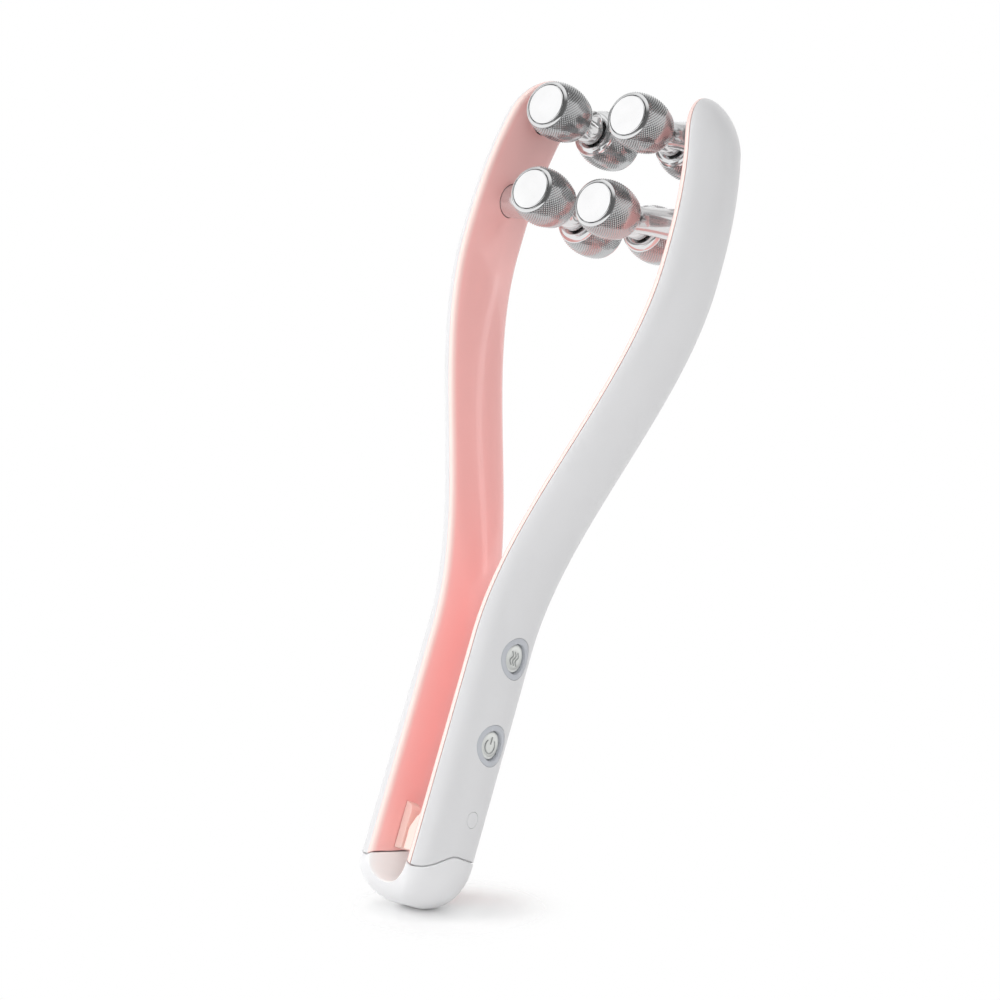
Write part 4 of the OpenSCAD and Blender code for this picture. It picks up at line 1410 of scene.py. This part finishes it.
@dataclass
class Head:
    """One head: stem with its hub, and two rollers with mirror discs."""

    side: Side
    level: Level
    finishes: Finishes
    axle_x: float
    axle_z: float
    tilt: float
    shoulder: float
    axle_drop: float = 1.0
    sizes: RollerSizes = RollerSizes()
    neck_radius: float = 4.0
    base_radius: float = 4.9
    base_edge: tuple[Pair, ...] = ((0.0, 0.3), (0.09, 0.09), (0.3, 0.0))
    dimple: tuple[Pair, ...] = ((0.0, 0.35), (2.35, 0.35), (2.5, 0.28), (2.62, 0.08), (2.75, 0.0))
    nose_flat: float = 2.95
    nose_round: float = 1.05
    nose_parts: int = 9
    flare_start: float = 0.5
    flare_stop: float = 2.2
    flare_parts: int = 12
    spigot_radius: float = 3.0
    spigot_length: float = 0.4
    hub_radius: float = 4.1
    hub_half: float = 4.3
    hub_round: float = 0.6
    roller_steps: int = 120

    @property
    def prefix(self) -> str:
        """Start of the names of this head's nodes."""
        return f"{self.level.value}_{self.side.word}"

    def _axle_frame(self, end: End) -> Matrix:
        """Return the frame whose axis runs outwards along one end of the tilted axle."""
        middle = Matrix.Translation((self.side.value * self.axle_x, 0, self.axle_z))
        return (middle @ Matrix.Rotation(math.radians(-self.tilt), 4, "X")
                @ Matrix.Rotation(math.radians(-90 * end.value), 4, "X"))

    def _stem_profile(self) -> list[Pair]:
        """Return the profile of the stem, from its nose to its spigot.

        Returns:
            Pairs of radius and distance.
        """
        neck, base, nose = self.neck_radius, self.base_radius, -self.neck_radius
        end, start = self.shoulder - self.axle_x, self.neck_radius + self.flare_start
        profile = [(radius, nose + sunk) for radius, sunk in self.dimple]
        profile += arc((self.nose_flat, nose + self.nose_round), (neck - self.nose_flat, self.nose_round),
                       -90, 0, self.nose_parts)
        length = end - self.flare_stop - start
        for share in (k / self.flare_parts for k in range(self.flare_parts + 1)):
            profile.append((neck + (base - neck) * smooth(share), start + length * share))
        profile += [(base - inset, end - back) for inset, back in self.base_edge]
        tip = end + self.spigot_length
        return profile + [(self.spigot_radius, end), (self.spigot_radius, tip), (0, tip)]

    def build_stem(self) -> None:
        """Make the stem and its hub."""
        place = Matrix.Translation((self.side.value * self.axle_x, 0, self.axle_z + self.axle_drop))
        sheet = Sheet()
        sheet.lathe(self._stem_profile(), place @ Matrix.Rotation(math.radians(90 * self.side.value), 4, "Y"))
        half, r = self.hub_half, self.hub_round
        rim = arc((self.hub_radius - r, r - half), (r, r), -90, 0, self.sizes.round_parts)
        hub = [(0, -half), *rim, *((radius, -along) for radius, along in reversed(rim)), (0, half)]
        sheet.lathe(hub, self._axle_frame(End.FRONT))
        stem = sheet.finish(f"{self.prefix}_stem_skin", self.finishes.get("stem"))
        enter(stem, f"{self.prefix}_head", f"{self.prefix}_stem")

    def _lattice(self, end: End) -> bpy.types.Mesh:
        """Return the knurl's points with their directions and sizes.

        Args:
            end: End of the axle.

        Returns:
            The points as a mesh.
        """
        z, frame = self.sizes, self._axle_frame(end)
        turn = frame.to_3x3()
        fine = z.crown_path(z.length_parts)
        length = sum(math.dist(a, b) for a, b in zip(fine, fine[1:]))
        parts = 2 * round(length * z.knurl_around / (2 * math.pi * z.barrel_radius))
        path = z.crown_path(parts)
        points, layers = [], {"outward": [], "around": [], "tile": []}
        for j, (radius, along) in enumerate(beside(path, z.knurl_height)):
            slope = direction(path, j)
            for i in range(z.knurl_around):
                angle = 2 * math.pi * (i + 0.5 * (j % 2)) / z.knurl_around
                out = Vector((math.cos(angle), math.sin(angle), 0))
                normal = out * slope.y - Vector((0, 0, slope.x))
                points.append(frame @ (out * radius + Vector((0, 0, along))) * MM)
                layers["outward"].extend(turn @ normal.normalized())
                layers["around"].extend(turn @ Vector((-out.y, out.x, 0)))
                layers["tile"].extend((math.pi * radius / z.knurl_around * MM, length / parts * MM, 1))
        mesh = bpy.data.meshes.new("knurl_lattice")
        mesh.from_pydata(points, [], [])
        for name, values in layers.items():
            mesh.attributes.new(name, "FLOAT_VECTOR", "POINT").data.foreach_set("vector", values)
        return mesh

    def _turned(self, name: str, finish: str, profile: list[Pair], end: End,
                sharp: float) -> bpy.types.Object:
        """Make a piece that is turned about one end of the axle.

        Args:
            name: Name of the piece.
            finish: Field of the palette.
            profile: Pairs of radius and distance.
            end: End of the axle.
            sharp: Angle past which an edge is shaded sharp.

        Returns:
            The piece.
        """
        sheet = Sheet()
        sheet.lathe(profile, self._axle_frame(end), self.roller_steps)
        return sheet.finish(name, self.finishes.get(finish), sharp)

    def build_roller(self, end: End, knurl: KnurlTree) -> None:
        """Make one roller, its knurl and its mirror disc.

        Args:
            end: End of the axle.
            knurl: Tree that grows the knurl.
        """
        name, z = f"{self.prefix}_{end.name.lower()}", self.sizes
        barrel = self._turned(f"{name}_barrel", "chrome", z.barrel_profile(), end, BLUNT)
        enter(barrel, name, f"{name}_roller")
        cover = knurl.grow(f"{name}_knurl", self._lattice(end), z.knurl_height * MM)
        enter(cover, name)
        disc = self._turned(f"{name}_mirror", "mirror", z.disc_profile(), end, SHARP)
        enter(disc, name, f"{name}_disc")

    def build(self, knurl: KnurlTree) -> None:
        """Make every piece of the head with a knurl tree."""
        self.build_stem()
        for end in End:
            self.build_roller(end, knurl)


# ---- controls ------------------------------------------------------------------------


@dataclass
class Controls:
    """Keys, their rings and the indicator window on the right arm."""

    rule: ArmRule
    finishes: Finishes
    heights: tuple[tuple[str, float], ...] = (("power", 49.2), ("mode", 74.6))
    hole_gap: float = 0.05
    ring_points: int = 72
    ring_inner: float = 4.25
    ring_outer: float = 6.0
    ring_depth: float = 2.0
    ring_outer_edge: tuple[Pair, ...] = ((0.0, -0.2), (0.06, -0.06), (0.2, 0.0))
    ring_inner_edge: tuple[Pair, ...] = ((0.55, 0.0), (0.22, -0.05), (0.05, -0.2), (0.0, -0.4))
    window_height: float = 27.6
    window_radius: float = 2.35
    window_depth: float = 3.0
    window_edge: tuple[Pair, ...] = ((0.0, -0.2), (0.05, -0.06), (0.2, -0.01), (0.94, 0.0), (1.7625, 0.0))
    key_radius: float = 4.1
    key_proud: float = -0.95
    key_round: Pair = (0.45, 0.4)
    key_parts: int = 6
    key_gap: float = 0.1
    key_flange: float = 0.6
    key_face: tuple[Pair, ...] = ((3.25, 0.0), (3.1, 0.03), (2.95, 0.1), (2.0, 0.12), (1.0, 0.12))
    stalk_radius: float = 1.1
    stalk_foot: float = 12.1
    stroke_half: float = 0.27
    stroke_bevel: float = 0.2
    stroke_depth: float = 0.25
    power_radius: float = 2.1
    power_drop: float = 0.2
    power_turn: Pair = (38.0, 314.0)
    power_parts: int = 23
    power_bar: Pair = (0.3, 2.5)
    wave_shifts: tuple[float, ...] = (-1.2, 0.0, 1.2)
    wave_width: float = 0.45
    wave_bend: float = 2.2
    wave_half: float = 1.9
    wave_parts: int = 18

    @property
    def openings(self) -> tuple[Pair, ...]:
        """Heights and radii of the holes that the controls need in the shell."""
        return (*((z, self.ring_outer + self.hole_gap) for _, z in self.heights),
                (self.window_height, self.window_radius + self.hole_gap))

    def _curved(self, z: float, radius: float, offset: float) -> list[Point]:
        """Return a ring of points that follows the arm, moved out by an offset."""
        ring = arc((0, z), (radius, radius), 0, 360, self.ring_points)[:-1]
        return [(self.rule.outer_x(y, h) + offset, y, h) for y, h in ring]

    def _flat(self, z: float, radius: float, x: float) -> list[Point]:
        """Return a flat ring of points at a place along X."""
        return [(x, y, h) for y, h in arc((0, z), (radius, radius), 0, 360, self.ring_points)[:-1]]

    def build_rings(self) -> None:
        """Make the rings round both keys as one piece."""
        profile = [(self.ring_outer - inset, offset) for inset, offset in self.ring_outer_edge]
        profile += [(self.ring_inner + inset, offset) for inset, offset in self.ring_inner_edge]
        sheet = Sheet()
        for _, z in self.heights:
            low = self.rule.outer_x(0, z) - self.ring_depth
            rows = [self._curved(z, radius, offset) for radius, offset in profile]
            rows += [self._flat(z, radius, low) for radius in (self.ring_inner, self.ring_outer)]
            sheet.loft(rows, ring=True, closed=True)
        rings = sheet.finish("button_ring_skins", self.finishes.get("ring_grey"))
        enter(rings, "right_arm", "button_rings")

    def build_window(self) -> None:
        """Make the indicator window."""
        z, r, outer = self.window_height, self.window_radius, self.rule.outer_x(0, self.window_height)
        rows = [self._flat(z, r, outer - self.window_depth)]
        rows += [self._curved(z, r - inset, offset) for inset, offset in self.window_edge]
        sheet = Sheet()
        sheet.dome(rows, (outer, 0, z))
        window = sheet.finish("indicator_window_skin", self.finishes.get("window"))
        enter(window, "right_arm", "indicator_window")

    def _stroke(self, sheet: Sheet, path: Sequence[Pair], z: float) -> None:
        """Raise a thin stroke on a key.

        Args:
            sheet: Mesh to add to.
            path: Places across and up the key.
            z: Height of the key.
        """
        half, low = self.stroke_half, self.key_proud - self.stroke_depth
        top = half * (1 - 2 * self.stroke_bevel)
        lines = [(beside(path, way), lift) for way, lift in
                 ((half, low), (top, self.key_proud), (-top, self.key_proud), (-half, low))]
        walls = [[(self.rule.outer_x(y, z + h) + lift, y, z + h) for y, h in line] for line, lift in lines]
        sheet.bar(list(zip(*walls)))

    def _mark_paths(self, name: str) -> list[list[Pair]]:
        """Return the strokes of a key's generic mark.

        Args:
            name: Name of the key.

        Returns:
            The strokes.
        """
        if name == "power":
            circle = arc((-self.power_drop, 0), (self.power_radius, self.power_radius), *self.power_turn,
                         self.power_parts)
            return [[(across, up) for up, across in circle], [(0, up) for up in self.power_bar]]
        ups = [self.wave_half * (2 * k / self.wave_parts - 1) for k in range(self.wave_parts + 1)]
        return [[(self.wave_width * math.sin(up * self.wave_bend) + shift, up) for up in ups]
                for shift in self.wave_shifts]

    def build_key(self, name: str, z: float) -> None:
        """Make a key and its mark.

        Args:
            name: Name of the key.
            z: Its height.
        """
        outer, stalk, r = self.rule.outer_x(0, z), self.stalk_radius, self.key_radius
        seat, flange = outer - self.ring_depth - self.key_gap, self.key_flange
        rows = [self._flat(z, radius, x) for x, radius in
                ((self.stalk_foot, stalk), (seat - flange, stalk), (seat - flange, r + flange),
                 (seat, r + flange), (seat, r))]
        edge = arc((r - self.key_round[0], -self.key_round[1]), self.key_round, 0, 90, self.key_parts)
        edge += [(radius, -sunk) for radius, sunk in self.key_face]
        rows += [self._curved(z, radius, self.key_proud + rise) for radius, rise in edge]
        sheet = Sheet()
        sheet.dome(rows, (outer + self.key_proud + edge[-1][1], 0, z))
        key = sheet.finish(f"{name}_key_skin", self.finishes.get("key"))
        enter(key, f"{name}_key", f"{name}_button")
        sheet = Sheet()
        for path in self._mark_paths(name):
            self._stroke(sheet, path, z)
        mark = sheet.finish(f"{name}_key_mark", self.finishes.get("mark"))
        enter(mark, f"{name}_key")

    def build(self) -> None:
        """Make the controls."""
        self.build_rings()
        self.build_window()
        for name, z in self.heights:
            self.build_key(name, z)


# ---- carried-over CAD nodes ----------------------------------------------------------


class Inside:
    """Finishes for the CAD nodes that stay as they are, by the ends of their names."""

    ENDINGS = {
        "dark": ("arm_frame", "tact_switches", "port_tongue"),
        "spring": ("frame_screws", "return_springs", "_clips"),
        "foil": ("motor", "battery"),
        "board": ("control_board",),
        "steel": ("board_screws", "hinge_bracket", "hinge_pins", "charging_port", "_axle", "_stop_washer"),
    }

    def dress(self, nodes: dict[str, bpy.types.Object], finishes: Finishes) -> None:
        """Give each remaining CAD node its finish.

        Args:
            nodes: CAD objects by name.
            finishes: The materials.
        """
        for name, node in nodes.items():
            for finish, endings in self.ENDINGS.items():
                if name.endswith(endings):
                    for slot in node.material_slots:
                        slot.material = finishes.get(finish)
                    LOG.info("%s is finished as %s", name, finish)


# ---- studio --------------------------------------------------------------------------


@dataclass(frozen=True)
class Lamp:
    """Soft lamp that faces the device.

    The way to it runs across, deep and up as the camera sees them, its size is in metres, and a
    level of 1 is enough for full white on a surface that faces it.
    """

    name: str
    way: Point
    size: Pair
    level: float
    shines: bool = False
    distance: float = 1.6
    aim: Point = (0.0, 0.0, 0.13)

    def hang(self, axes: Matrix) -> None:
        """Hang the lamp.

        Args:
            axes: The studio's axes.
        """
        data = bpy.data.lights.new(self.name, "AREA")
        data.shape = "RECTANGLE"
        data.size, data.size_y = self.size
        data.energy = self.level * (math.pi * self.distance) ** 2
        lamp = bpy.data.objects.new(self.name, data)
        lamp.visible_camera = False
        lamp.visible_glossy = self.shines
        bpy.context.scene.collection.objects.link(lamp)
        way = (axes @ Vector(self.way)).normalized()
        lamp.location = Vector(self.aim) + way * self.distance
        lamp.rotation_euler = way.to_track_quat("Z", "Y").to_euler()


@dataclass
class Studio:
    """Floor, lamps, surroundings and camera."""

    up: Point = (-0.1494, -0.2519, 0.9561)
    right: Point = (0.7693, 0.5779, 0.2725)
    forward: Point = (-0.6212, 0.7762, 0.1075)
    camera_at: Point = (950.4, -1196.0, -47.5)
    lens: float = 194.74
    sensor: float = 36.0
    clip: Pair = (0.05, 20.0)
    floor_pitch: float = 12.0
    floor_half: float = 3000.0
    floor_grain: float = 60.0
    floor_grey: Pair = (0.93, 0.95)
    floor_roughness: Pair = (0.55, 0.65)
    floor_glow: float = 0.05
    shadow_reach: Pair = (0.012, 0.040)
    shadow_shift: float = 7.0
    ambient: float = 0.43
    surroundings: float = 0.13
    reflected: tuple[tuple[Point, float, float, float], ...] = (
        ((0.0, 1.0, 0.1), 0.45, 0.8, 1.0),
        ((-0.98, -0.10, 0.30), 0.80, 0.90, 1.0),
        ((0.0, 0.0, 1.0), 0.5, 0.95, 0.95),
    )
    lamps: tuple[Lamp, ...] = (
        Lamp("key", (-0.05, -0.95, 0.22), (1.0, 1.0), 0.33),
        Lamp("left", (-0.95, -0.15, 0.30), (0.8, 1.2), 0.60),
        Lamp("right", (0.95, -0.30, 0.10), (0.9, 1.2), 0.11),
        Lamp("top", (0.0, -0.3, 1.0), (1.2, 1.2), 0.20),
        Lamp("back", (0.2, 0.9, 0.5), (1.2, 1.0), 0.22),
        Lamp("strip", (0.90, 0.38, 0.07), (0.12, 1.2), 0.03, True),
    )

    def _axes(self) -> Matrix:
        """Return the studio's axes: across, deep and up, as seen by the camera.

        Returns:
            The axes.
        """
        up = Vector(self.up).normalized()
        right = Vector(self.right).normalized()
        right = (right - up * right.dot(up)).normalized()
        return Matrix((right, up.cross(right).normalized(), up)).transposed()

    def _floor_paint(self, middle: Vector) -> bpy.types.Material:
        """Make the floor's material, white to the eye but keeping the shadow near the device.

        Args:
            middle: Middle of the shadow, in metres.

        Returns:
            The material.
        """
        paint = Paint("studio_floor")
        grain = paint.spread(paint.noise(self.floor_grain, detail=3), *self.floor_roughness)
        paint.fill(paint.shader, {"Roughness": grain})
        paint.tint(grain, *((grey, grey, grey) for grey in self.floor_grey))
        rays = paint.node("ShaderNodeLightPath", {}).outputs
        direct = paint.maths("MAXIMUM", rays["Is Camera Ray"], rays["Is Transmission Ray"])
        seen = paint.maths("MAXIMUM", direct, rays["Is Glossy Ray"])
        glow = paint.blend(seen, paint.light("Emission", 0), paint.light("Emission", self.floor_glow))
        lit = paint.node("ShaderNodeAddShader", {0: paint.shader.outputs["BSDF"], 1: glow}).outputs["Shader"]
        far = paint.node("ShaderNodeVectorMath", {0: paint.place, 1: middle}, operation="DISTANCE")
        fade = paint.ramp(far.outputs["Value"], *self.shadow_reach, 0, 1, "SMOOTHSTEP")
        plain = paint.blend(paint.maths("MULTIPLY", fade, seen), lit, paint.light("Emission", 1))
        back = paint.node("ShaderNodeNewGeometry", {}).outputs["Backfacing"]
        clear = paint.maths("MULTIPLY", paint.maths("MAXIMUM", fade, back), direct)
        through = paint.node("ShaderNodeBsdfTransparent", {}).outputs["BSDF"]
        paint.fill(paint.tree.nodes["Material Output"], {"Surface": paint.blend(clear, plain, through)})
        return paint.material

    def _floor(self, stands: bpy.types.Object) -> None:
        """Lay the floor under the device.

        Args:
            stands: Piece that touches the floor.
        """
        pitch = math.radians(self.floor_pitch)
        level = (Vector(self.up) * math.cos(pitch) - Vector(self.forward) * math.sin(pitch)).normalized()
        across = Vector(self.right).normalized()
        deep = level.cross(across).normalized()
        foot = min((v.co for v in stands.data.vertices), key=level.dot) / MM
        ends = (-self.floor_half, self.floor_half)
        sheet = Sheet()
        sheet.loft([[foot + across * x + deep * y for x in ends] for y in ends])
        floor = sheet.finish("studio_floor", self._floor_paint((foot + across * self.shadow_shift) * MM))
        if floor.data.polygons[0].normal.dot(level) < 0:
            floor.data.flip_normals()

    def _world(self) -> None:
        """Surround the device with white, and with soft grey for what lights it."""
        world = bpy.data.worlds.new("studio")
        bpy.context.scene.world = world
        world.use_nodes = True
        bench = NodeBench(world.node_tree)
        bench.tree.nodes.clear()
        rays = bench.node("ShaderNodeLightPath", {}).outputs
        place = bench.node("ShaderNodeTexCoord", {}).outputs["Generated"]
        shine = self.surroundings
        for way, start, stop, value in self.reflected:
            aim = self._axes() @ Vector(way).normalized()
            toward = bench.node("ShaderNodeVectorMath", {0: place, 1: aim}, operation="DOT_PRODUCT")
            edge = bench.ramp(toward.outputs["Value"], start, stop, 0, value, "SMOOTHSTEP")
            shine = bench.maths("MAXIMUM", shine, edge)
        soft, mirrored, white = (bench.light("Background", level) for level in (self.ambient, shine, 1))
        lit = bench.blend(rays["Is Glossy Ray"], soft, mirrored)
        seen = bench.maths("MAXIMUM", rays["Is Camera Ray"], rays["Is Transmission Ray"])
        bench.node("ShaderNodeOutputWorld", {"Surface": bench.blend(seen, lit, white)})

    def _camera(self) -> None:
        """Set the camera."""
        data = bpy.data.cameras.new("camera")
        data.lens = self.lens
        data.sensor_fit = "HORIZONTAL"
        data.sensor_width = self.sensor
        data.clip_start, data.clip_end = self.clip
        camera = bpy.data.objects.new("camera", data)
        bpy.context.scene.collection.objects.link(camera)
        back = -Vector(self.forward).normalized()
        right = Vector(self.right)
        right = (right - back * right.dot(back)).normalized()
        turn = Matrix((right, back.cross(right), back)).transposed().to_4x4()
        camera.matrix_world = Matrix.Translation(Vector(self.camera_at) * MM) @ turn
        bpy.context.scene.camera = camera

    def build(self, stands: bpy.types.Object) -> None:
        """Set up the studio.

        Args:
            stands: Piece that touches the floor.
        """
        self._floor(stands)
        self._world()
        for lamp in self.lamps:
            lamp.hang(self._axes())
        self._camera()
        bpy.context.scene.view_settings.view_transform = "Standard"
        LOG.info("studio is set")


def main() -> None:
    """Build the dressed device on its frame."""
    logging.basicConfig(level=logging.INFO, format="%(name)s: %(message)s")
    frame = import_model()
    finishes = Finishes(Palette())
    rule = ArmRule()
    controls = Controls(rule, finishes)
    Arm(Side.LEFT, ArmRule(tip_trim=0.8), finishes, pad_y=-3.3, pad_top=28.0, pad_far=2.3).build()
    Arm(Side.RIGHT, ArmRule(tip_trim=0.02), finishes, pad_y=-4.9, pad_top=26.6, pad_far=-0.2,
        pad_slope=2.0, openings=controls.openings).build()
    EndCap(rule, finishes).build()
    knurl = KnurlTree(finishes.get("knurl"))
    for side, tilt in ((Side.LEFT, 3.8), (Side.RIGHT, 0.2)):
        Head(side, Level.UPPER, finishes, axle_x=14.8, axle_z=229.3, tilt=1.8, shoulder=30.0).build(knurl)
        Head(side, Level.LOWER, finishes, axle_x=11.8, axle_z=203.6, tilt=tilt, shoulder=34.6).build(knurl)
    controls.build()
    Inside().dress(frame["nodes"], finishes)
    Studio().build(bpy.data.objects["end_cap_skin"])


if __name__ == "__main__":
    main()
